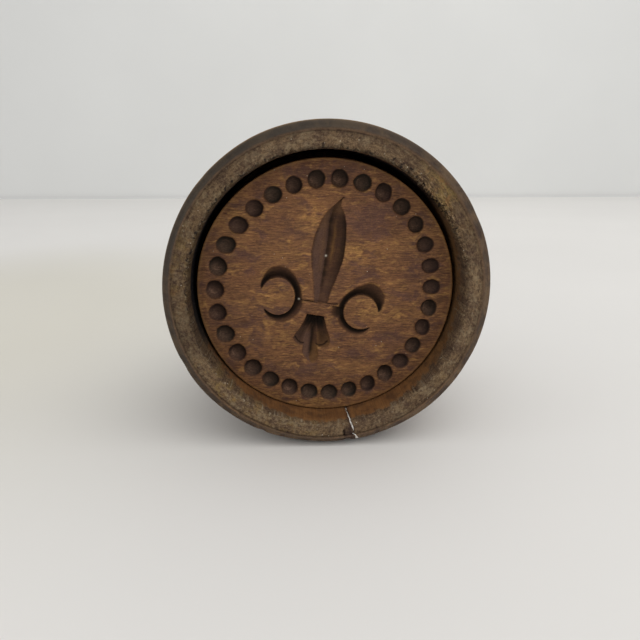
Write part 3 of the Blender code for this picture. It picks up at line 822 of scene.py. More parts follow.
def curl_cut(x, z, eye, start, sweep, widths, slope):
    """Depth and darkness (painted shade, with dirt) of a curl: cut straight down at the eye, sloping
    up outwards.
    """
    eye_x, eye_z, radius_x, radius_z = eye
    off_x, off_z = x - eye_x, z - eye_z
    turn = np.degrees(np.arctan2(off_x / radius_x, off_z / radius_z))
    t = ((turn - start) * np.sign(sweep) + 40) % 360 - 40
    t = t / abs(sweep)
    edge = np.hypot(radius_x * np.sin(np.radians(turn)), radius_z * np.cos(np.radians(turn)))
    width = np.maximum(along(widths, np.clip(t, 0, 1)), 0.05)
    fade = smooth(-0.02, 0.025, t) * smooth(1.02, 0.985, t)
    off = np.hypot(off_x, off_z) - edge
    deep = np.minimum(0.5 + slope * width, 2.9)
    outer = np.clip((width - off) / width, 0, 1) ** 0.92
    wall = smooth(-0.18, 0.14, off)
    tight = smooth(0.52, 0.70, t)
    black_end = (1.05 - 0.05 * (width - 2)) * (1 - 0.26 * tight)
    black_start = np.maximum(0.52 - 0.11 * (width - 2), 0.1) * (1 - 0.25 * tight)
    black = smooth(black_end, black_start, off / width) * wall * fade
    return deep * outer * wall * fade, black * (1 - 0.26 * smooth(2.8, 4.4, width))


def line_distance(x, z, path):
    """Distance to a polyline of (z, x) points."""
    best = np.full(np.shape(z), 99.0)
    for (z0, x0), (z1, x1) in zip(path, path[1:]):
        step_z, step_x = z1 - z0, x1 - x0
        t = ((z - z0) * step_z + (x - x0) * step_x) / (step_z * step_z + step_x * step_x)
        t = np.clip(t, 0, 1)
        best = np.minimum(best, np.hypot(z - z0 - t * step_z, x - x0 - t * step_x))
    return best


def eye_ratio(x, z, eye):
    """1 on the eye's edge, less inside it."""
    eye_x, eye_z, radius_x, radius_z = eye
    return np.hypot((x - eye_x) / radius_x, (z - eye_z) / radius_z)


def flame_tones(x, z, left_x, valley_x, right_x):
    """Painted shade, painted light on the facet facing the light and a painted lit strip inside the
    flame: the shade lies along its valley.
    """
    vary = noise(z / 2.6, 0.7, seed=105) + 0.6 * noise(z / 0.9, 2.7, seed=106)
    streaky = noise(x / 0.55, z / 9.0, seed=213) + 0.5 * noise(x / 0.3, z / 5.0, 3.0, seed=214)
    on_left, on_right = x < valley_x, x > valley_x
    line = bump(x, valley_x + 0.42 + 0.22 * vary, 0.60 + 0.016 * z + 0.22 * vary)
    line = line * smooth(4.0, 11.0, z) * smooth(40.5, 36.0, z)
    upper = bump(x, valley_x + 1.25, 1.05) * smooth(21.0, 27.0, z) * smooth(39.5, 35.0, z)
    lower = bump(x, valley_x + 0.9, 0.8) * smooth(8.0, 12.0, z) * smooth(22.0, 17.0, z)
    line = np.maximum.reduce([line, 0.62 * upper, 0.40 * lower])
    right_edge = smooth(3.1, 0.5, right_x - x) * on_right
    upper_dark = smooth(valley_x + 1.6, valley_x + 3.6, x)
    upper_dark = upper_dark * smooth(24.0, 29.0, z) * smooth(37.0, 34.0, z)
    left_dark = bump(x, left_x + 0.35, 0.75) * smooth(12.0, 19.0, z) * smooth(34.0, 27.0, z)
    edge_fade = (0.30 * smooth(3, 9, z) + 0.34 * smooth(13.0, 19.0, z)) * smooth(37.5, 33.0, z)
    shade = np.maximum.reduce([
        0.82 * line * (0.85 + 0.3 * vary),
        0.45 * smooth(38.6, 40.6, z),
        right_edge * edge_fade,
        0.36 * upper_dark,
        0.42 * left_dark,
        0.20 * smooth(0.05, 0.55, streaky),
    ])  # fmt: skip
    # Painted light on the cut faces turned to the light.
    lit_facet = np.where(
        on_left,
        np.clip(0.92 + 0.30 * streaky, 0, 1),
        0.30 * smooth(14.0, 9.0, z) + 0.45 * smooth(35.0, 37.5, z),
    )
    right_lit_strip = bump(x, valley_x + 2.2 + 0.35 * vary, 0.62)
    right_lit_strip = right_lit_strip * smooth(15.0, 22.0, z) * smooth(35.0, 28.0, z)
    lit_strip = np.maximum.reduce([
        0.72 * on_right * right_lit_strip,
        0.34 * on_left * smooth(24.0, 33.0, z) * smooth(-0.5, 0.4, streaky),
        0.26 * on_left * smooth(11.0, 16.0, z) * bump(x, valley_x - 1.5, 0.9),
        0.34 * on_right * smooth(34.5, 37.0, z),
    ])  # fmt: skip
    return shade, lit_facet, lit_strip


def carve_motif(face_x, face_z):
    """Depth, painted shade with dirt, painted light on facets and strips, and pale crumbs of the
    motif's cuts.
    """
    x, z = to_motif(face_x, face_z)
    jitter = 0.10 * noise(face_x / 2.1, face_z / 2.1, 1.0, seed=101)
    x = x + jitter
    z = z + 0.10 * noise(face_x / 2.3, face_z / 2.3, 2.0, seed=102)

    flame, flame_left, flame_valley, flame_right = facet_cut(x, z, **FLAME)
    left_petal = facet_cut(x, z, **LEFT_PETAL)[0]
    right_petal = facet_cut(x, z, **RIGHT_PETAL)[0]
    tail, _, tail_valley, _ = facet_cut(x, z, **TAIL)
    curl_x = face_x + 0.5 * jitter
    left_curl, left_black = curl_cut(curl_x, face_z + 0.5 * jitter, **LEFT_CURL)
    right_curl, right_black = curl_cut(curl_x, face_z - 0.5 * jitter, **RIGHT_CURL)
    # Two thin lines at the foot of the flame, above the uncut band.
    line_z = 2.42 + 0.10 * x * (x > 0) + 0.15 * noise(x * 0.9, 1.5, seed=104)
    line = 0.6 * bump(z, line_z, 0.19) * smooth(-7.6, -6.6, x) * smooth(7.6, 6.8, x)
    short_line = bump(z, 1.75 + 0.05 * x, 0.16) * smooth(1.2, 2.2, x) * smooth(6.6, 5.6, x)
    line += 0.45 * short_line
    arc_gap = np.minimum(*(line_distance(x, z, path) for path in PETAL_ARCS))
    arc_cut = bump(arc_gap, 0, 0.28)
    # The small sloped facet where the band runs into the right curl, and its fainter twin.
    right_ratio = eye_ratio(face_x, face_z, RIGHT_EYE)
    left_ratio = eye_ratio(face_x, face_z, LEFT_EYE)
    eye_keep = smooth(0.975, 1.02, right_ratio) * smooth(0.975, 1.02, left_ratio)
    right_notch = 2.0 * smooth(2.6, 9.4, x) ** 1.4 * smooth(2.9, 2.3, z + 0.10 * (x - 3))
    right_notch = right_notch * smooth(-2.8, -0.2, z) * (right_ratio > 1.0) * (face_x < 9)
    right_notch = right_notch * eye_keep
    left_notch = smooth(-4.2, -8.2, x) * smooth(2.4, 1.4, z) * smooth(-2.6, -1.2, z)
    left_notch = left_notch * (left_ratio > 1.0) * (face_x > -15) * eye_keep
    petals = np.maximum(left_petal, right_petal)
    depth = np.maximum.reduce(
        [flame, petals, tail, left_curl, right_curl, right_notch, left_notch, line]
    )
    depth = depth + 0.45 * arc_cut * (petals > 0.05)

    # Painted shade in the cuts, with dirt: darkest in the steep cuts.
    curls = np.maximum(left_curl, right_curl)
    curls = curls * smooth(2.1, 1.75, np.minimum(right_ratio, left_ratio))
    below = np.maximum(petals, tail)
    tail_foot = smooth(-20.0, -16.0, z)
    shade = np.maximum.reduce([
        0.97 * np.maximum(left_black, right_black) * (curls > 0.01),
        smooth(0.9, 2.1, below) * smooth(-10.5, -5.0, z),
        0.97 * smooth(0.1, 0.5, below) * smooth(-6.6, -3.4, z) * (z < -2.0),
        0.50 * smooth(0.8, 1.8, petals),
        0.85 * (tail > petals) * bump(x, tail_valley + 0.1, 0.8) * tail_foot,
        0.92 * arc_cut * (petals > 0.05),
    ])  # fmt: skip
    in_flame = flame > 0.02
    flame_shade, flame_lit_facet, flame_lit_strip = flame_tones(
        x, z, flame_left, flame_valley, flame_right
    )
    shade = np.maximum.reduce([
        np.where(in_flame, flame_shade, shade),
        0.8 * smooth(0.15, 0.5, line) * (flame < 0.5),
        0.75 * smooth(0.4, 1.6, np.maximum(right_notch, 0.7 * left_notch)),
    ])  # fmt: skip
    on_tail = (tail > petals) & (tail > 0.02)
    on_left_petal = (left_petal > 0.05) & (left_petal > tail)
    on_right_petal = (right_petal > 0.05) & (right_petal > tail)
    # Painted light on the facets turned to the light, and warm lit strips, over the cut wood's own
    # tint.
    lit_facet = np.maximum.reduce([
        flame_lit_facet * in_flame,
        0.85 * (on_tail & (x < tail_valley)) * smooth(-7.0, -11.0, z),
        0.55 * on_left_petal * smooth(-6.0, -9.0, z),
    ])  # fmt: skip
    lit_strip = np.maximum.reduce([
        flame_lit_strip * in_flame,
        0.55 * (on_tail & (x > tail_valley)) * smooth(-11.0, -15.0, z),
        0.45 * on_right_petal * smooth(-7.0, -10.5, z),
    ])  # fmt: skip
    crumbs = np.maximum(
        bump(np.hypot(x + 7.35, z - 2.35), 0, 0.30),
        bump(np.hypot(x - flame_valley - 0.2, z - 19.7), 0, 0.32),
    )
    return depth, shade, lit_facet, lit_strip, crumbs


# ------------------------------------------------------------------------------------------
# Print: the ring of dimples
# ------------------------------------------------------------------------------------------
DIMPLES = 31
DIMPLE_REACH = 4.8


def dimple_spot(i):
    """Centre of a dimple, a little off an even ring."""
    turn = 2 * math.pi * i / DIMPLES
    slip = -6.1 + math.cos(turn) + 2.9 * math.sin(turn) - 0.7 * math.sin(2 * turn)
    radius = 39.85 - 0.45 * math.cos(turn) - 0.35 * math.sin(turn)
    radius += 0.45 * math.sin(2 * turn) + 0.45 * math.sin(3 * turn)
    turn += math.radians(slip)
    return radius * math.sin(turn), radius * math.cos(turn)


def cell_share(*cell, seed):
    """A fixed random value from 0 to 1."""
    return hash_cells(*(np.array([value]) for value in cell), seed)[0] / 4294967295.0


def carve_dimples(face_x, face_z):
    """Depth, painted light and scrapes, hue, painted shade, and the fading of the pit colour on the
    lit side, of the dimples.
    """
    depth, tone, dark, fade = (np.zeros_like(face_x) for _ in range(4))
    hue = np.full_like(face_x, 0.5)
    rag = 0.15 * noise(face_x / 1.4, face_z / 1.4, 4.0, seed=103)
    rag = rag + 0.26 * noise(face_x / 3.1, face_z / 3.1, 6.0, seed=107)
    for i in range(DIMPLES):
        spot_x, spot_z = dimple_spot(i)
        # Two fixed draws vary each dimple.
        one = cell_share(i, 7, 3, seed=9)
        two = cell_share(i, 11, 5, seed=13)
        here = (np.abs(face_x - spot_x) < DIMPLE_REACH) & (np.abs(face_z - spot_z) < DIMPLE_REACH)
        x, z = face_x[here] - spot_x, face_z[here] - spot_z
        stretch = 1 + 0.13 * (two - 0.5)
        off = np.hypot(x * stretch, z / stretch) + rag[here]
        size = 3.30 + 0.24 * (one - 0.5) + 0.22 * float(smooth(5, 30, -spot_x))
        deep = 2.35 + 0.35 * (two - 0.5)
        ball = (size**2 + deep**2) / (2 * deep)
        cup = np.sqrt(np.clip(ball**2 - off**2, 0, None)) - (ball - deep)
        cup = np.where(off < size + 0.25, np.maximum(cup, 0), 0)
        lean = math.radians(35.0 + 70.0 * (one - 0.5))
        toward = (x * math.cos(lean) + z * math.sin(lean)) / size
        cup = cup * (1 + (0.10 + 0.26 * two) * toward)
        # A soft lip, and in some a nib or a prick in the middle.
        cup = cup * smooth(size + 0.12, size - 0.55, off)
        cup = cup + 0.10 * smooth(size + 0.5, size - 0.3, off)
        if one > 0.45:
            nib = bump(
                np.hypot(x - 0.9 * (two - 0.5), z - 0.9 * (one - 0.7)), 0, 0.32 + 0.25 * two
            )
            cup = cup - (0.25 + 0.35 * two) * nib * (1 if one > 0.6 else -0.8)
        depth[here] = np.maximum(depth[here], cup)
        # Painted shade on the far wall of each dimple, and the pit colour faded on its lit side.
        within = smooth(size + 0.1, size - 0.7, off)
        far_wall_shade = (0.42 + 0.25 * two) * within * smooth(-0.30, 0.62, toward)
        dark[here] = np.maximum(dark[here], far_wall_shade)
        lit_fade = (off < size + 0.9) * smooth(-0.30, -1.0, toward)
        fade[here] = np.maximum(fade[here], lit_fade)
        # Painted light: lighter on the side away from the deep end, with a lit patch towards the
        # lower left, and pale scrapes curling round the middle.
        lit_side = smooth(-0.05, -0.85, toward) * smooth(size + 0.4, size - 0.4, off)
        tone[here] += (0.34 + 0.22 * one) * lit_side
        patch = np.exp(-(((x + 1.1) / 1.5) ** 2) - (((z + 1.2 - 1.2 * one) / 1.2) ** 2))
        tone[here] += (0.10 + 0.42 * two) * patch
        scrape_x, scrape_z = x - 0.5 + one, z + 0.3 - 0.8 * two
        scrape = np.degrees(np.arctan2(scrape_z, scrape_x))
        curl = np.hypot(scrape_x, scrape_z)
        # Strength, radius, width, middle and spread in degrees
        for strength, curl_r, width, middle, spread in (
            (0.95 * smooth(0.25, 0.8, two), 0.9 + 0.9 * one, 0.20, 360 * one - 90, 55),
            (0.75 * smooth(0.45, 0.9, one), 1.9 - 0.8 * two, 0.16, 250 * two + 60, 38),
        ):
            arc_share = bump(turn_gap(scrape, middle), 0, spread)
            tone[here] += strength * bump(curl, curl_r, width) * arc_share
        hue[here] = np.where(off < size + 0.9, (7.3 * one + 3.1 * two) % 1.0, hue[here])
    return depth, tone, hue, dark, fade


# ------------------------------------------------------------------------------------------
# Print: disc and masks
# ------------------------------------------------------------------------------------------
GRID = 372  # squares along each side of the grid that is drawn out into the face
EDGE_ROUND = 0.5

# Patches of colour on the face: centre x and z, half widths in x and z, strength.
GOLDEN_PATCHES = (
    (10.0, 13.5, 6.5, 4.2, 1.0), (-28.0, -6.0, 6.5, 2.6, 0.6), (-5.0, 25.0, 5.5, 6.0, 0.75),
    (-33.0, 25.0, 7.0, 6.0, 0.6), (-18.0, -1.5, 5.0, 3.6, 0.6), (16.0, -7.5, 6.0, 4.0, 0.5),
    (-20.0, -17.0, 12.0, 3.5, 0.55), (24.0, -10.0, 9.0, 3.0, 0.5), (-8.0, -43.0, 14.0, 3.0, 0.8),
    (26.0, 16.0, 7.0, 3.0, 0.45), (6.0, -30.0, 15.0, 2.5, 0.45), (-16.0, 13.0, 8.0, 5.0, 0.3),
    (38.0, 27.0, 5.0, 9.0, 0.35),
)  # fmt: skip
STAINED_PATCHES = (
    (15.0, 24.5, 8.5, 6.0, 1.0), (20.0, 29.0, 6.0, 3.5, 0.5), (-12.0, 20.0, 7.0, 6.0, 0.55),
    (12.0, 44.0, 12.0, 3.0, 0.5), (-34.0, -7.5, 8.0, 3.0, 0.5), (32.0, 8.0, 5.0, 8.0, 0.55),
    (25.0, -18.5, 6.0, 3.0, 0.6), (18.0, -25.0, 10.0, 4.0, 0.4), (-10.0, -31.0, 11.0, 3.5, 0.5),
    (-2.0, 42.0, 12.0, 2.6, 0.4), (-20.0, -9.0, 6.0, 2.5, 0.4), (-28.0, 12.0, 7.0, 4.0, 0.35),
    (6.0, 5.0, 3.0, 7.0, 0.35), (-40.0, 12.0, 4.0, 8.0, 0.3),
)  # fmt: skip


def patch_sum(x, z, *patches):
    return sum(
        strength * np.exp(-(((x - centre_x) / half_x) ** 2) - (((z - centre_z) / half_z) ** 2))
        for centre_x, centre_z, half_x, half_z, strength in patches
    )


def disc_grid():
    """Polar radius and angle (from +X towards +Z) of a square grid drawn out into the disc."""
    steps = np.linspace(-1, 1, GRID + 1)
    wide, tall = np.meshgrid(steps, steps)
    quarter = np.pi / 4
    with np.errstate(divide="ignore", invalid="ignore"):
        turn = np.where(
            np.abs(wide) >= np.abs(tall),
            np.where(wide >= 0, quarter * (tall / wide), np.pi - quarter * (tall / -wide)),
            np.where(
                tall >= 0,
                np.pi / 2 - quarter * (wide / tall),
                -np.pi / 2 + quarter * (wide / -tall),
            ),
        )
    turn = np.nan_to_num(turn)
    polar = np.maximum(np.abs(wide), np.abs(tall)) * PRINT_R
    # The print is a little less than round towards its top.
    return polar * (1 - 0.0085 * np.clip(np.sin(turn), 0, 1) ** 1.5), turn


def face_depth(x, z, polar, turn, carved, strokes):
    """Depth of the face: worn smooth, with grain lines, bruises and a rounded, chipped edge."""
    grain = noise(x / 9.0, z / 0.42, 0.0, seed=111) + 0.6 * noise(x / 14.0, z / 1.1, 0.0, seed=112)
    hollow = fbm(x / 17.0, z / 17.0, 0.0, seed=113, octaves=2) + 0.4
    nicks = smooth(0.42, 0.6, fbm(x / 2.6, z / 1.1, 0.0, seed=114, octaves=3)) * 0.16
    band_x, band_z = to_motif(x, z)
    band_round = 0.35 * smooth(0.6, 1.0, np.abs(band_z) / 2.7)
    band_round = band_round * (np.abs(band_x) < 4.2) * (np.abs(band_z) < 2.9)
    wear = 0.05 + 0.030 * grain + 0.05 * hollow + nicks * (strokes < 0.05) + band_round
    cut_rough = 0.05 * fbm(x / 0.9, z / 0.9, 0.0, seed=115, octaves=2) * smooth(0.1, 0.6, carved)
    over = np.clip(polar - (PRINT_R - EDGE_ROUND), 0, EDGE_ROUND)
    rounding = EDGE_ROUND - np.sqrt(np.maximum(EDGE_ROUND**2 - over**2, 0))
    rounding = rounding * (1 + 0.25 * noise(turn * 9.0, 0.3, seed=116))
    chips = smooth(0.30, 0.55, fbm(turn * 46.7 / 3.0, 0.9, 0.0, seed=117, octaves=3))
    chips = chips * smooth(1.0, 0.2, PRINT_R - polar) * 0.45
    return np.maximum(carved + wear + cut_rough, 0.005) + rounding + chips


def close_disc(front):
    """The face's points and faces with the side, the back and the socket added."""
    index = np.arange((GRID + 1) ** 2).reshape(GRID + 1, GRID + 1)
    quads = np.stack([index[:-1, :-1], index[:-1, 1:], index[1:, 1:], index[1:, :-1]], -1)
    loop = np.concatenate([index[0, :-1], index[:-1, -1], index[-1, :0:-1], index[:0:-1, 0]])
    turn = np.arctan2(front[loop, 2], front[loop, 0])
    socket_y = PRINT_THICK - SOCKET_DEPTH
    rings = [
        (PRINT_R, np.maximum(front[loop, 1] + 0.45, 1.6)),
        (PRINT_R, 3.2), (PRINT_R, 5.5), (PRINT_R, 9.0), (PRINT_R, 12.5), (PRINT_R - 0.1, 14.2),
        (PRINT_R - 0.9, PRINT_THICK), (38.0, PRINT_THICK), (24.0, PRINT_THICK),
        (12.0, PRINT_THICK), (SOCKET_R, PRINT_THICK), (SOCKET_R, PRINT_THICK - 4.0),
        (SOCKET_R, PRINT_THICK - 8.0), (SOCKET_R, socket_y), (5.0, socket_y), (1.5, socket_y),
    ]  # fmt: skip
    points, faces = [front], [quads.reshape(-1, 4)]
    start = len(front)
    for radius, depth in rings:
        rough = 1 + noise(turn * 46.7 / 1.2, float(np.mean(depth)) / 8.0, seed=118)
        out = radius - 0.03 * rough * (radius > 45)
        depth = np.broadcast_to(depth, loop.shape)
        points.append(np.stack([out * np.cos(turn), depth, out * np.sin(turn)], -1))
        ring = np.arange(start, start + len(loop))
        faces.append(np.stack([loop, ring, np.roll(ring, -1), np.roll(loop, -1)], -1))
        loop = ring
        start += len(loop)
    faces.append(loop[None, :])
    return np.concatenate(points), faces


def colour_masks(x, z):
    """Where the wood is more golden or stained, its tone, and one hairline."""
    warp_x = x + 3.0 * noise(x / 9.0, z / 9.0, 0.0, seed=201)
    warp_x = warp_x + 0.8 * noise(x / 2.2, z / 2.2, 0.0, seed=202)
    warp_z = z + 2.2 * noise(x / 10.0, z / 7.0, 3.0, seed=203)
    warp_z = warp_z + 0.7 * noise(x / 2.6, z / 2.0, 3.0, seed=204)

    def figure(size_x, size_z, seed, octaves=4, gain=0.65):
        return fbm(warp_x / size_x, warp_z / size_z, 0.0, seed=seed, octaves=octaves, gain=gain)

    golden = 1.25 * patch_sum(x, z, *GOLDEN_PATCHES)
    golden = golden * smooth(-0.22, 0.16, figure(3.4, 1.3, seed=205))
    golden += 0.85 * smooth(0.10, 0.32, figure(6.0, 2.0, seed=206, gain=0.62))
    deep_stain = patch_sum(x, z, (15.5, 24.0, 8.5, 6.5, 1.0))
    golden = golden * (1 - 0.75 * deep_stain)
    stained = patch_sum(x, z, *STAINED_PATCHES) * (
        0.45 * deep_stain + 1.3 * smooth(-0.30, 0.10, figure(5.0, 3.6, seed=207))
    )
    stained += 0.95 * smooth(0.02, 0.26, figure(10.0, 5.5, seed=208, octaves=5))

    off = np.hypot(x, z)
    tone = 0.815 - 0.12 * np.clip((-0.45 * x - 0.9 * z) / 46.0, -0.6, 1.0)
    tone = tone - 0.10 * smooth(14, 40, x)
    tone = tone * (1 + 0.42 * figure(5.0, 2.8, seed=209, octaves=5))
    near_dimples = bump(off, 39.8, 5.0)
    near_dimples = near_dimples * smooth(
        -0.5, 0.3, fbm(x / 5.0, z / 5.0, 0.0, seed=211, octaves=3)
    )
    tone = tone * (1 - 0.16 * near_dimples)
    tone = tone * (1 + patch_sum(x, z, (-4.0, 29.5, 8.0, 5.0, 0.13)))
    tone = tone * (1 - 0.10 * smooth(3.0, 0.0, PRINT_R - off))
    hair_gap = z + 25.7 + 0.085 * (x + 0.5) - 0.25 * noise(x / 2.0, 0.0, seed=210)
    hair = bump(hair_gap, 0, 0.16) * smooth(-1.0, 1.0, x) * smooth(16.5, 13.5, x)
    return np.clip(golden, 0, 1), np.clip(stained, 0, 1), np.clip(tone, 0.3, 1.6), hair


def build_print():
    polar, turn = disc_grid()
    x, z = polar * np.cos(turn), polar * np.sin(turn)
    strokes, shade, lit_facet, lit_strip, crumbs = carve_motif(x, z)
    dimples, pit_light_and_scrapes, pit_hue, pit_shade, pit_lit_fade = carve_dimples(x, z)
    carved = np.maximum(strokes, dimples)
    depth = face_depth(x, z, polar, turn, carved, strokes)
    front = np.stack([x, depth, z], -1).reshape(-1, 3)
    points, faces = close_disc(front)

    def on_front(values, rest=0.0):
        full = np.full(len(points), rest)
        full[: len(front)] = np.asarray(values).ravel()
        return full

    # Painted light in the dimples: their lit side, lit patch and scrapes, and a little in the
    # deepest middle.
    core = 0.25 * smooth(1.2, 2.2, dimples)
    core = core + pit_light_and_scrapes * (0.7 + 0.8 * noise(x / 0.7, z / 0.35, seed=120))
    # The standing edges of the two eyes get a paler painted highlight where they are also worn, and
    # the print's own edge is rubbed paler.
    eye_edge_highlight = np.maximum(
        bump(eye_ratio(x, z, RIGHT_EYE), 0.95, 0.035), bump(eye_ratio(x, z, LEFT_EYE), 0.95, 0.035)
    )
    eye_edge_highlight = eye_edge_highlight * smooth(-0.25, 0.3, fbm(x / 1.6, z / 1.2, 0.0, seed=212, octaves=3))
    worn = np.maximum(smooth(1.6, 0.3, PRINT_R - polar), eye_edge_highlight) * (carved < 0.3)
    golden, stained, tone, hair = colour_masks(points[:, 0], points[:, 2])
    masks = {
        "cut": on_front(smooth(0.08, 0.7, carved)),
        # Pit colour, faded on each dimple's lit side as painted light.
        "hollow": on_front(smooth(0.03, 1.25, dimples) * (1 - 0.42 * pit_lit_fade)),
        "core": on_front(np.clip(core, 0, 1)),
        "shade": on_front(np.maximum(shade, pit_shade)),
        "pit_hue": on_front(pit_hue, rest=0.5),
        "crumbs": on_front(crumbs),
        "lit_facet": on_front(lit_facet),
        "lit_strip": on_front(lit_strip),
        "worn": on_front(worn, rest=0.5),
        "golden": golden,
        "stained": stained,
        "tone": tone,
        "hair": on_front(hair[: len(front)]),
        "face": on_front(1.0),
    }
    return mesh_object("print_disc", points, faces, masks, PRINT_Z, FACE_Y)


disc = build_print()

# ------------------------------------------------------------------------------------------
# Handle
# ------------------------------------------------------------------------------------------
HANDLE_COLS = 224
TENON_R = 8.3
THREAD_PITCH = 4.0
THREAD_HEIGHT = 1.15
KNOB_LINES = (13.0, 22.2)  # lines cut round the knob, behind its front
# Share of the knob's radius, and depth behind its front
KNOB_SHAPE = (
    (0.66, 7.5), (0.76, 8.3), (0.85, 9.4), (0.915, 10.8), (0.96, 12.6), (0.988, 14.8),
    (0.998, 17.0), (0.992, 19.0), (0.965, 21.2), (0.915, 23.4), (0.84, 25.3), (0.74, 26.9),
    (0.60, 28.3), (0.44, 29.2), (0.28, 29.75), (0.17, 29.98),
)  # fmt: skip


def handle_profile():
    """(radius, y) from the tenon's tip on the axis to the knob's end on the axis."""
    points = resample([
        (0.0, HANDLE_TIP, 1.2), (TENON_R - 1.0, HANDLE_TIP, 0.35),
        (TENON_R, HANDLE_TIP + 0.8, 0.35), (TENON_R, PRINT_THICK + 0.3, 0.6),
        (STEM_R - 0.6, PRINT_THICK + 0.3, 0.3), (STEM_R, PRINT_THICK + 0.9, 1.2),
        (STEM_R, KNOB_FRONT - 2.5, 0.5), (STEM_R - 0.1, KNOB_FRONT - 0.6, 0.3),
        (STEM_R + 0.2, KNOB_FRONT, 0.3),
        *arc(STEM_R + 2.2, KNOB_FRONT + 2.6, radius=2.55, turn=(88, -88), count=12, step=0.5),
        (STEM_R + 0.6, KNOB_FRONT + 5.6, 0.3), (STEM_R + 0.15, KNOB_FRONT + 6.3, 0.3),
        (STEM_R + 1.0, KNOB_FRONT + 7.1, 0.4),
        *((KNOB_R * share, KNOB_FRONT + back, 0.6) for share, back in KNOB_SHAPE),
        (1.2, KNOB_FRONT + KNOB_LENGTH, 0.4), (0.0, KNOB_FRONT + 29.4, 1.0),
    ])  # fmt: skip
    # The closing stretch along the axis is dropped.
    end = np.flatnonzero(points[:, 0] < 1e-6)[1]
    return points[: end + 1]


def handle_relief(x, y, z, radius, theta):
    """Wear cut into the handle, and the thread raised on its tenon."""
    relief = -0.03 + 0.012 * np.sin(y * 2 * math.pi / 0.95) + 0.02 * noise(y / 0.7, theta, seed=131)
    relief -= 0.14 * smooth(0.40, 0.62, fbm(x / 4.5, z / 4.5, y / 4.5, seed=132, octaves=2))
    checks = smooth(0.2, 0.6, noise(theta * 20 / 0.7, y / 18.0, seed=133))
    relief -= 0.05 * checks * (y > PRINT_THICK + 1)
    for back, width in zip(KNOB_LINES, (0.3, 0.28)):
        relief -= 0.16 * bump(y, KNOB_FRONT + back, width)
    relief = np.minimum(relief, 0.0)
    turn = (y / THREAD_PITCH - theta / (2 * math.pi)) % 1.0
    ridge = np.clip((1 - np.clip(np.abs(turn - 0.5) / 0.34, 0, 1)) * 1.25, 0, 1)
    threaded = smooth(HANDLE_TIP + 0.9, HANDLE_TIP + 2.0, y)
    threaded = threaded * smooth(PRINT_THICK - 0.4, PRINT_THICK - 1.6, y) * (radius < 8.6)
    return relief + THREAD_HEIGHT * ridge * threaded


def build_handle():
    profile = handle_profile()
    normals = outward(np.gradient(profile, axis=0))[1:-1]
    rings = profile[1:-1]
    shape = (len(rings), HANDLE_COLS)
    radius = np.broadcast_to(rings[:, :1], shape)
    y = np.broadcast_to(rings[:, 1:], shape)
    theta = np.broadcast_to(np.arange(HANDLE_COLS) * 2 * math.pi / HANDLE_COLS, shape)
    x, z = radius * np.sin(theta), radius * np.cos(theta)
    relief = handle_relief(x, y, z, radius, theta)
    worn_r = np.minimum(radius + normals[:, :1] * relief, KNOB_R - 0.01)
    worn_y = np.clip(y + normals[:, 1:] * relief, HANDLE_TIP + 0.005, HANDLE_END - 0.005)
    points = np.stack([worn_r * np.sin(theta), worn_y, worn_r * np.cos(theta)], -1)
    ends = [[0, HANDLE_TIP + 0.01, 0], [0, profile[-1, 1], 0]]
    points = np.concatenate([points.reshape(-1, 3), ends])

    index = np.arange(radius.size).reshape(shape)
    beside = np.roll(index, -1, 1)
    quads = np.stack([index[:-1], index[1:], beside[1:], beside[:-1]], -1).reshape(-1, 4)
    tip = np.full(HANDLE_COLS, radius.size)
    tip_cap = np.stack([tip, index[0], beside[0]], -1)
    end_cap = np.stack([index[-1], tip + 1, beside[-1]], -1)

    def with_ends(values, end=0):
        """The grid's values, then 0 for the tip's point and `end` for the knob's."""
        return np.r_[values.ravel(), 0, end]

    # Depth behind the knob's front, and width
    grooves = sum(
        bump(y, KNOB_FRONT + back, width)
        for back, width in ((KNOB_LINES[0], 0.5), (KNOB_LINES[1], 0.5), (6.2, 0.8), (-0.2, 0.6))
    )
    knob = smooth(KNOB_FRONT - 1.0, KNOB_FRONT + 1.0, y)
    worn = smooth(0.9, 1.0, radius / KNOB_R) * knob
    worn = worn + bump(radius, STEM_R + 4.6, 0.5) * (y > KNOB_FRONT)
    masks = {
        "groove": with_ends(grooves),
        "worn": with_ends(worn),
        "turn": with_ends(theta),
        "knob": with_ends(knob, end=1),
        "tip": with_ends(smooth(6.0, 1.0, radius) * (y > KNOB_FRONT), end=1),
    }
    return mesh_object(
        "handle_turned", points, [quads, tip_cap, end_cap], masks, PRINT_Z, FACE_Y
    )


handle = build_handle()


# ------------------------------------------------------------------------------------------
# Materials. Colours are sRGB, 0 to 255.
# ------------------------------------------------------------------------------------------
def srgb(*channels):
    shares = [channel / 255 for channel in channels]
    return tuple(c / 12.92 if c <= 0.04045 else ((c + 0.055) / 1.055) ** 2.4 for c in shares)


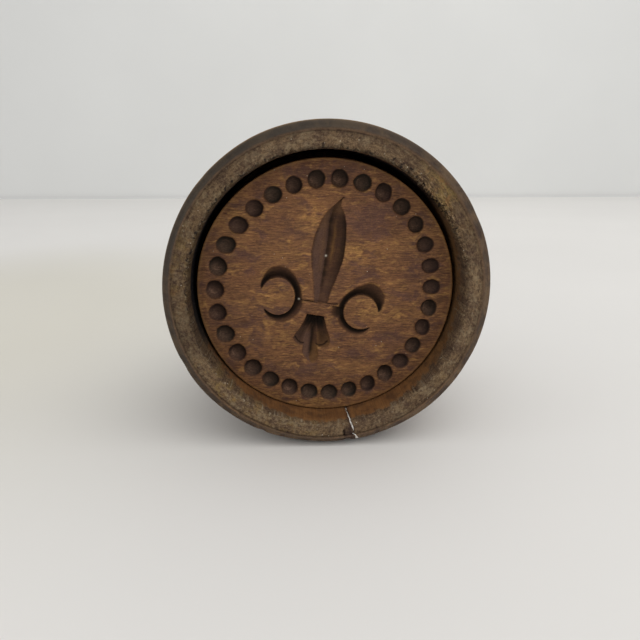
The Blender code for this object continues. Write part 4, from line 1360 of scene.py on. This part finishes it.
class Graph:
    """A short way to write a node material. Values are sockets, numbers or colours."""

    def __init__(self, name):
        self.material = bpy.data.materials.new(name)
        self.material.use_nodes = True
        self.tree = self.material.node_tree
        self.tree.nodes.clear()
        output = self.node("OutputMaterial")
        self.shader = self.node("BsdfPrincipled")
        self.tree.links.new(self.shader.outputs[0], output.inputs[0])
        self.object_coords = None

    def node(self, kind):
        return self.tree.nodes.new("ShaderNode" + kind)

    def put(self, socket, value):
        if isinstance(value, bpy.types.NodeSocket):
            self.tree.links.new(value, socket)
        elif isinstance(value, tuple):
            socket.default_value = (*srgb(*value), 1.0)
        else:
            socket.default_value = value

    def put_all(self, sockets, values):
        for socket, value in zip(sockets, values):
            self.put(socket, value)

    def coords(self, cells, offset=(0, 0, 0)):
        """Object coordinates with so many cells to a millimetre in x, y and z."""
        if self.object_coords is None:
            self.object_coords = self.node("TexCoord").outputs["Object"]
        mapping = self.node("Mapping")
        self.put(mapping.inputs["Vector"], self.object_coords)
        mapping.inputs["Scale"].default_value = tuple(1000.0 * count for count in cells)
        mapping.inputs["Location"].default_value = offset
        return mapping.outputs[0]

    def attr(self, name):
        attribute = self.node("Attribute")
        attribute.attribute_name = name
        return attribute.outputs["Fac"]

    def noise(self, vector, detail, rough=0.5, warp=0.0):
        texture = self.node("TexNoise")
        self.put(texture.inputs["Vector"], vector)
        texture.inputs["Scale"].default_value = 1.0
        texture.inputs["Detail"].default_value = detail
        texture.inputs["Roughness"].default_value = rough
        texture.inputs["Distortion"].default_value = warp
        return texture.outputs["Fac"]

    def grain(self, cells, detail, rough=0.5, warp=0.0, offset=(0, 0, 0)):
        return self.noise(self.coords(cells, offset), detail, rough, warp)

    def voronoi(self, cells, offset=(0, 0, 0)):
        texture = self.node("TexVoronoi")
        self.put(texture.inputs["Vector"], self.coords(cells, offset))
        texture.inputs["Scale"].default_value = 1.0
        return texture.outputs["Distance"]

    def combine(self, x, y, z):
        vector = self.node("CombineXYZ")
        self.put_all(vector.inputs, (x, y, z))
        return vector.outputs[0]

    def vector_add(self, one, two):
        adder = self.node("VectorMath")
        adder.operation = "ADD"
        self.put_all(adder.inputs, (one, two))
        return adder.outputs[0]

    def math(self, operation, one, two=0.0):
        step = self.node("Math")
        step.operation = operation
        self.put_all(step.inputs, (one, two, 0.0))
        return step.outputs[0]

    def add(self, one, two):
        return self.math("ADD", one, two)

    def mul(self, one, two):
        return self.math("MULTIPLY", one, two)

    def maximum(self, one, two):
        return self.math("MAXIMUM", one, two)

    def range(self, value, start, end, low=0.0, high=1.0):
        """Eased map of start..end to low..high."""
        mapper = self.node("MapRange")
        mapper.interpolation_type = "SMOOTHSTEP"
        self.put_all(mapper.inputs, (value, start, end, low, high))
        return mapper.outputs[0]

    def mix(self, share, one, two):
        mixer = self.node("Mix")
        mixer.data_type = "RGBA"
        mixer.blend_type = "MIX"
        mixer.clamp_factor = True
        self.put_all((mixer.inputs[0], mixer.inputs[6], mixer.inputs[7]), (share, one, two))
        return mixer.outputs[2]

    def mix_value(self, share, one, two):
        mixer = self.node("Mix")
        mixer.data_type = "FLOAT"
        self.put_all((mixer.inputs[0], mixer.inputs[2], mixer.inputs[3]), (share, one, two))
        return mixer.outputs[0]

    def paint(self, color, *layers):
        """Lay colours over one another.

        A layer is its colour, strength and mask, then the start and end of the mask's eased
        range (and its low and high values) where it has one.
        """
        for tint, strength, mask, *fade in layers:
            if fade:
                mask = self.range(mask, *fade)
            if strength != 1:
                mask = self.mul(mask, strength)
            color = self.mix(mask, color, tint)
        return color

    def scale_color(self, color, factor):
        scaler = self.node("VectorMath")
        scaler.operation = "SCALE"
        self.put(scaler.inputs[0], color)
        self.put(scaler.inputs["Scale"], factor)
        return scaler.outputs[0]

    def bumped(self, height, strength, distance):
        relief = self.node("Bump")
        relief.inputs["Strength"].default_value = strength
        relief.inputs["Distance"].default_value = distance * MM
        self.put(relief.inputs["Height"], height)
        return relief.outputs[0]

    def finish(self, color, rough, specular, normal=None):
        self.put(self.shader.inputs["Base Color"], color)
        self.put(self.shader.inputs["Roughness"], rough)
        self.put(self.shader.inputs["Specular IOR Level"], specular)
        if normal is not None:
            self.put(self.shader.inputs["Normal"], normal)
        return self.material


def case_outside(g, fibre, fibre_fine, clouds_small, rings):
    """Dark, handled wood, with the lip and the back end over it."""
    lip_tone_and_light, turn, ringd, back = g.attr("lip_tone_and_light"), g.attr("turn"), g.attr("ringd"), g.attr("back")
    pores = g.grain((5.0, 0.30, 5.0), detail=2, offset=(3, 1, 7))
    clouds = g.grain((0.045, 0.02, 0.045), detail=3, rough=0.55)
    wide_rings = g.math("SINE", g.mul(ringd, 2 * math.pi / 6.7))
    hoop_drift = g.grain((0.5, 2.2, 0.5), detail=2)
    hoop = g.noise(
        g.combine(g.mul(turn, 11.0), g.mul(ringd, 0.35), hoop_drift),
        detail=4, rough=0.62, warp=0.4,
    )  # fmt: skip
    lip_color = g.paint(
        (76, 64, 54),
        ((98, 80, 62), 1, clouds_small, 0.42, 0.58),
        ((60, 45, 40), 0.55, hoop, 0.50, 0.62),
        ((112, 91, 68), 0.25, hoop, 0.46, 0.36),
        ((44, 34, 30), 0.4, pores, 0.56, 0.66),
        ((80, 74, 66), 0.6, lip_tone_and_light, 0.88, 0.60),
    )
    lip_color = g.paint(g.scale_color(lip_color, lip_tone_and_light), ((150, 118, 78), 0.80, g.attr("lip_edge_highlight")))
    back_color = g.paint((78, 60, 46), ((112, 88, 64), 1, rings, 0.38, 0.62))
    return g.paint(
        (84, 65, 51),
        ((112, 85, 61), 1, clouds, 0.38, 0.64),
        ((58, 43, 33), 0.6, fibre, 0.46, 0.64),
        ((134, 100, 68), 0.22, wide_rings, 0.1, 1.0),
        ((138, 108, 78), 0.38, fibre_fine, 0.53, 0.68),
        ((40, 30, 24), 0.55, pores, 0.58, 0.68),
        ((76, 57, 51), 0.45, clouds_small, 0.53, 0.70),
        (lip_color, 1, g.attr("lip")),
        (back_color, 0.50, back),
        ((60, 46, 38), 0.45, g.mul(back, g.range(clouds_small, 0.50, 0.66))),
        ((30, 22, 17), 0.78, g.attr("groove")),
    )


def case_bore(g, fibre_fine, clouds_small):
    """Cleaner, warmer wood, streaked along the grain."""
    turn = g.attr("turn")
    drift = g.grain((0.0, 0.03, 0.0), detail=1)
    streak = g.noise(g.combine(g.mul(turn, 70.0), 0.0, drift), detail=4, rough=0.6)
    stain = g.grain((0.30, 0.16, 0.30), detail=4, rough=0.62, offset=(4, 4, 1))
    right_side = g.math("SINE", g.add(turn, math.radians(8.0)))
    return g.paint(
        (110, 75, 44),
        ((132, 92, 54), 1, streak, 0.36, 0.66),
        ((92, 60, 36), 0.55, clouds_small, 0.42, 0.62),
        ((74, 48, 30), 0.35, fibre_fine, 0.52, 0.68),
        ((132, 96, 58), 0.22, g.attr("mouth")),
        ((72, 50, 34), 0.55, stain, 0.50, 0.62),
        ((66, 44, 28), 0.45, streak, 0.52, 0.64),
        ((82, 63, 38), 1, right_side, 0.45, 0.95, 0.0, 0.5),
        ((38, 26, 18), 0.8, g.attr("ticks")),
    )


def case_rim(g, speck, speck_fine, rings):
    """Raw, weathered end grain."""
    ringd, ring_along, yellow = g.attr("ringd"), g.attr("ring_along"), g.attr("yellow")
    relief_light_and_shade, fray = g.attr("relief_light_and_shade"), g.attr("fray")
    patches = g.grain((0.20, 0.20, 0.20), detail=3, rough=0.6, offset=(1, 8, 3))
    purple = g.grain((0.33, 0.33, 0.33), detail=4, rough=0.62, offset=(7, 1, 6))
    strand = g.noise(
        g.combine(g.mul(ringd, 1.2), 0.0, g.mul(ring_along, 0.5)), detail=4, rough=0.66, warp=0.8
    )
    turned = g.noise(
        g.combine(g.mul(g.attr("radius"), 1.5), 3.0, g.mul(g.attr("turn"), 17.0)),
        detail=4, rough=0.68, warp=0.7,
    )  # fmt: skip
    shred = g.noise(
        g.combine(g.mul(ringd, 2.6), 7.0, g.mul(ring_along, 0.7)), detail=3, rough=0.7, warp=1.2
    )
    olive = g.mul(g.range(turned, 0.60, 0.48, 0.35, 1.0), g.range(speck, 0.58, 0.46, 0.45, 1.0))
    pale_specks = g.voronoi((0.33, 0.33, 0.33), offset=(2, 2, 2))
    color = g.paint(
        (98, 79, 62),
        ((120, 98, 74), 1, patches, 0.42, 0.58),
        ((82, 63, 54), 0.60, purple, 0.52, 0.64),
        ((66, 50, 41), 0.38, strand, 0.51, 0.63),
        ((64, 48, 40), 0.42, turned, 0.50, 0.61),
        ((142, 119, 88), 0.40, turned, 0.47, 0.37),
        ((58, 45, 37), 0.58, speck, 0.52, 0.61),
        ((148, 125, 96), 0.40, speck, 0.46, 0.38),
        ((48, 37, 31), 0.58, speck_fine, 0.53, 0.62),
        ((80, 63, 50), 0.20, rings, 0.44, 0.60),
        ((138, 114, 66), 0.70, g.mul(yellow, olive)),
        ((134, 88, 52), 0.45, g.mul(yellow, g.range(purple, 0.48, 0.40))),
        ((40, 29, 22), 0.8, g.attr("ticks")),
        ((44, 32, 25), g.range(shred, 0.50, 0.58), fray),
        ((172, 142, 108), g.mul(g.range(shred, 0.44, 0.37), 0.8), fray),
        # Painted shade in the sunk grain, painted light on the high grain.
        ((48, 37, 31), 0.75, relief_light_and_shade, 0.45, 0.15),
        ((160, 142, 112), 0.35, relief_light_and_shade, 0.62, 0.85),
        ((188, 176, 152), g.range(speck_fine, 0.40, 0.52, 0.3, 0.9), g.attr("pale")),
        ((50, 38, 33), 0.7, g.attr("dark")),
        ((206, 194, 172), 0.85, pale_specks, 0.065, 0.040),
    )
    return g.scale_color(color, g.attr("rim_tone"))


def case_material():
    g = Graph("aged_case_wood")
    rim, gap_shadow_paint = g.attr("rim"), g.attr("gap_shadow_paint")
    # Long grain runs along Y: fibres are short across and long along.
    fibre = g.grain((2.2, 0.06, 2.2), detail=4, rough=0.62, warp=0.25)
    fibre_fine = g.grain((6.0, 0.20, 6.0), detail=3, rough=0.6, warp=0.1)
    clouds_small = g.grain((0.16, 0.10, 0.16), detail=4, rough=0.6, offset=(5, 2, 1))
    speck = g.grain((1.3, 1.3, 1.3), detail=5, rough=0.7, offset=(2, 4, 6))
    speck_fine = g.grain((3.6, 3.6, 3.6), detail=3, rough=0.6, offset=(9, 4, 2))
    rings = g.noise(
        g.combine(g.mul(g.attr("ringd"), 0.55), g.mul(g.attr("ring_along"), 0.012), 1.5),
        detail=4, rough=0.62,
    )  # fmt: skip
    color = g.paint(
        case_outside(g, fibre, fibre_fine, clouds_small, rings),
        (case_bore(g, fibre_fine, clouds_small), 1, g.attr("bore")),
        (case_rim(g, speck, speck_fine, rings), 1, rim),
        # Painted shadow, near black, in the gap beside the print.
        ((17, 17, 21), 0.97, gap_shadow_paint),
        ((48, 34, 34), 0.6, g.attr("split")),
        ((226, 222, 214), 1, g.attr("filler")),
    )
    rough = g.maximum(g.range(fibre, 0.3, 0.7, 0.52, 0.72), g.mul(rim, 0.88))
    height = g.mix_value(
        rim,
        g.add(g.mul(fibre, 0.6), g.mul(fibre_fine, 0.35)),
        g.add(speck, g.mul(speck_fine, 0.7)),
    )
    # Rim, the painted gap shadow and lip hardly shine.
    quiet = g.maximum(rim, g.maximum(gap_shadow_paint, g.mul(g.attr("lip"), 0.85)))
    return g.finish(
        color,
        rough,
        specular=g.range(quiet, 0.0, 1.0, 0.20, 0.07),
        normal=g.bumped(height, strength=0.6, distance=0.26),
    )


def print_material():
    g = Graph("carved_print_wood")
    cut, pit_hue = g.attr("cut"), g.attr("pit_hue")
    darker, lighter, gold, fleck_color = (84, 53, 38), (158, 113, 68), (182, 135, 76), (52, 34, 24)

    # Grain runs across, along X, with a little figure in it.
    wave = g.grain((0.05, 0.05, 0.09), detail=3)
    bend = g.combine(0.0, 0.0, g.mul(wave, 4.5))

    def bent(cells, detail, rough, warp, offset=(0, 0, 0)):
        return g.noise(g.vector_add(g.coords(cells, offset), bend), detail, rough, warp)

    streak = bent((0.34, 1.0, 2.1), detail=4, rough=0.66, warp=0.7)
    streak_fine = bent((0.85, 2.0, 5.2), detail=3, rough=0.66, warp=0.5, offset=(4, 2, 8))
    tick = bent((0.75, 2.0, 3.6), detail=3, rough=0.6, warp=0.5, offset=(1, 6, 2))
    thread = bent((0.24, 1.0, 2.9), detail=2, rough=0.55, warp=0.2, offset=(2, 9, 3))
    gate = g.grain((0.11, 0.2, 0.17), detail=3, rough=0.55, warp=0.5, offset=(3, 7, 1))
    cloud = g.grain((0.10, 0.1, 0.14), detail=4, rough=0.6, offset=(8, 3, 5))
    fine = g.grain((1.6, 1.6, 2.6), detail=3, rough=0.6, offset=(5, 5, 1))
    fleck_gate = g.grain((0.14, 0.3, 0.2), detail=2, offset=(6, 6, 6))
    fleck = g.range(g.voronoi((0.42, 1.0, 2.3)), 0.20, 0.07)
    flecks = g.mul(fleck, g.range(fleck_gate, 0.50, 0.60))
    color = g.paint(
        (112, 75, 48),
        ((130, 89, 56), 1, cloud, 0.38, 0.62),
        (darker, g.range(gate, 0.38, 0.56, 0.25, 0.8), streak, 0.50, 0.62),
        (lighter, 0.6, streak, 0.47, 0.34),
        (darker, 0.62, streak_fine, 0.52, 0.64),
        (lighter, 0.35, streak_fine, 0.46, 0.34),
        (darker, 0.35, fine, 0.55, 0.70),
        (gold, 0.72, g.mul(g.attr("golden"), g.range(tick, 0.40, 0.56, 0.35, 1.0))),
        ((86, 58, 51), 0.78, g.mul(g.attr("stained"), g.range(fine, 0.38, 0.56, 0.65, 1.0))),
        (fleck_color, 0.7, flecks),
        (fleck_color, 0.8, g.attr("hair")),
        # Paler on the print's rubbed edge and, as a painted highlight, on the eyes' edges.
        (gold, 0.25, g.attr("worn")),
    )
    # Single fibres, long and thin, over all of it.
    color = g.scale_color(color, g.range(thread, 0.38, 0.62, 1.17, 0.83))
    # Cut wood is darker, and dirt and old fat lie in the hollows; painted light falls on the lit
    # facets, strips and dimple sides, and painted shade lies deep in the cuts.
    cut_color = g.paint(
        (64, 45, 35),
        ((88, 67, 59), 1, g.attr("lit_facet")),
        ((112, 80, 44), g.range(fine, 0.35, 0.60, 0.5, 1.0), g.attr("lit_strip")),
        ((50, 38, 33), 0.4, fine, 0.50, 0.66),
    )
    pit_color = g.paint(
        (42, 33, 28),
        ((48, 34, 32), 1, pit_hue, 0.52, 0.75),
        ((37, 36, 31), 1, pit_hue, 0.48, 0.30),
        ((70, 53, 44), 0.25, fine, 0.58, 0.44),
        # Painted light in the dimples.
        ((112, 86, 70), 1, g.attr("core")),
        ((36, 29, 25), 0.5, streak_fine, 0.46, 0.60),
    )
    # Painted glints: small pale specks over the face.
    pale_specks = g.voronoi((0.30, 0.30, 0.30), offset=(2, 2, 2))
    color = g.paint(
        color,
        ((214, 200, 176), 0.8, pale_specks, 0.050, 0.030),
        (cut_color, 0.86, cut),
        (pit_color, 0.94, g.attr("hollow")),
        ((22, 17, 13), 0.97, g.attr("shade")),
        ((204, 196, 180), 0.9, g.attr("crumbs")),
        ((80, 54, 38), 0.8, g.math("SUBTRACT", 1.0, g.attr("face"))),
    )
    color = g.scale_color(color, g.mix_value(cut, g.attr("tone"), 1.0))
    rough = g.add(g.range(streak, 0.3, 0.7, 0.55, 0.70), g.mul(cut, 0.15))
    small = g.add(g.mul(flecks, -0.6), g.mul(fine, 0.3))
    height = g.add(g.mul(streak, 0.6), g.add(g.mul(streak_fine, 0.5), small))
    return g.finish(
        color,
        rough,
        specular=g.range(cut, 0.0, 1.0, 0.20, 0.06),
        normal=g.bumped(height, strength=0.6, distance=0.20),
    )


def handle_material():
    g = Graph("hand_polished_wood")
    fibre = g.grain((2.2, 0.055, 2.2), detail=4, rough=0.62, warp=0.3, offset=(7, 0, 3))
    fine = g.grain((6.0, 0.2, 6.0), detail=3, rough=0.6, offset=(2, 0, 9))
    pores = g.grain((5.0, 0.35, 5.0), detail=2, offset=(1, 1, 2))
    cloud = g.grain((0.12, 0.05, 0.12), detail=3, rough=0.55, offset=(4, 4, 4))
    color = g.paint(
        (104, 74, 50),
        ((134, 96, 62), 1, cloud, 0.35, 0.68),
        ((72, 49, 34), 0.6, fibre, 0.46, 0.72),
        ((154, 114, 76), 0.3, fine, 0.55, 0.78),
        ((46, 32, 24), 0.5, pores, 0.60, 0.74),
        ((160, 120, 80), 0.35, g.attr("worn")),
        ((36, 25, 18), 0.7, g.attr("groove")),
        ((66, 48, 36), 0.5, g.attr("tip")),
    )
    height = g.add(g.mul(fibre, 0.6), g.mul(fine, 0.4))
    return g.finish(
        color,
        rough=g.range(fibre, 0.3, 0.7, 0.34, 0.52),
        specular=0.42,
        normal=g.bumped(height, strength=0.4, distance=0.14),
    )


def plain(name, color, patch=None):
    """Painted board in a linear colour; patch = (centre, radii, colour) of a soft darker patch,
    which on the table is a painted shadow.
    """
    g = Graph(name)
    grain = g.grain((0.004, 0.004, 0.004), detail=3)
    shade = g.range(grain, 0.2, 0.8, 0.985, 1.015)
    paint = g.combine(*color)
    if patch:
        (centre_x, centre_y), (radius_x, radius_y), stain = patch
        away = g.node("VectorMath")
        away.operation = "LENGTH"
        offset = (-centre_x / radius_x, -centre_y / radius_y, 0.0)
        g.put(away.inputs[0], g.coords((1 / radius_x, 1 / radius_y, 0.0), offset))
        paint = g.mix(g.range(away.outputs["Value"], 1.45, 0.30), paint, g.combine(*stain))
    return g.finish(g.scale_color(paint, shade), rough=0.8, specular=0.25)


for piece, material, body, slot_name in (
    (case, case_material(), "case", "case_wood"),
    (disc, print_material(), "print", "print_wood"),
    (handle, handle_material(), "handle", "handle_wood"),
):
    piece.data.materials.append(material)
    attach(piece, body)
    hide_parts(body)

# ------------------------------------------------------------------------------------------
# Stage, light and camera. Lengths here are in metres.
# ------------------------------------------------------------------------------------------
STAGE_HALF = 4
FLOOR_Z = cad_low.z - 0.00005
WALL_Y = 1.355
WALL_TOP = 3.0
JOINT_HEIGHT = 0.006
JOINT_THICK = 0.002


def sheet(name, near_y, far_y, top, material):
    """A rectangle the width of the stage, from the floor at near_y to `top` at far_y."""
    low = ((-STAGE_HALF, near_y, FLOOR_Z), (STAGE_HALF, near_y, FLOOR_Z))
    high = ((STAGE_HALF, far_y, top), (-STAGE_HALF, far_y, top))
    mesh = bpy.data.meshes.new(name)
    mesh.from_pydata([*low, *high], [], [(0, 1, 2, 3)])
    mesh.materials.append(material)
    obj = bpy.data.objects.new(name, mesh)
    bpy.context.scene.collection.objects.link(obj)


# Painted shadow: a broad, soft, warm darker patch on the table to the left of the mold.
table_shadow_patch = ((-210.0, 150.0), (180.0, 290.0), (0.645, 0.622, 0.555))
table_paint = plain("pale_table", (0.73, 0.715, 0.69), table_shadow_patch)
wall_paint = plain("pale_wall", (0.742, 0.745, 0.730))
joint_paint = plain("wall_joint", (0.70, 0.70, 0.69))
JOINT_Y = WALL_Y - JOINT_THICK
sheet("table", near_y=-STAGE_HALF, far_y=WALL_Y, top=FLOOR_Z, material=table_paint)
sheet("wall", near_y=WALL_Y, far_y=WALL_Y, top=WALL_TOP, material=wall_paint)
sheet("wall_joint", JOINT_Y, JOINT_Y, top=FLOOR_Z + JOINT_HEIGHT, material=joint_paint)

world = bpy.data.worlds.new("soft_room")
world.use_nodes = True
background = world.node_tree.nodes["Background"]
background.inputs["Color"].default_value = (0.955, 0.96, 0.97, 1.0)
background.inputs["Strength"].default_value = 0.88
bpy.context.scene.world = world


def area_light(name, location, target, size, power, color):
    data = bpy.data.lights.new(name, "AREA")
    data.shape = "RECTANGLE"
    data.size, data.size_y = size
    data.energy = power
    data.color = color
    obj = bpy.data.objects.new(name, data)
    obj.location = location
    aim = Vector(target) - Vector(location)
    obj.rotation_euler = aim.to_track_quat("-Z", "Y").to_euler()
    bpy.context.scene.collection.objects.link(obj)


mold_centre = (0.0, 0.0, AXIS_Z * MM)
# Name, place, what it faces, size, power, colour
for light in (
    ("ceiling_light", (0.50, -0.70, 1.25), mold_centre, (1.5, 1.2), 5.4, (1.0, 0.97, 0.93)),
    ("back_light", (0.65, 0.72, 1.05), (0.55, 0.60, 0.0), (2.2, 0.6), 3.0, (1.0, 0.99, 0.97)),
    ("front_fill", (-0.30, -1.30, 0.60), mold_centre, (1.0, 0.7), 1.6, (1.0, 0.98, 0.95)),
):
    area_light(*light)

camera_data = bpy.data.cameras.new("camera")
camera_data.sensor_width = 36.0
camera_data.lens = 36.0
camera_data.clip_start = 0.01
camera = bpy.data.objects.new("camera", camera_data)
camera.location = CAMERA * MM
camera.rotation_euler = (math.radians(90 - CAMERA_TILT), 0.0, math.radians(CAMERA_TURN))
bpy.context.scene.collection.objects.link(camera)
bpy.context.scene.camera = camera
bpy.context.scene.view_settings.view_transform = "Standard"
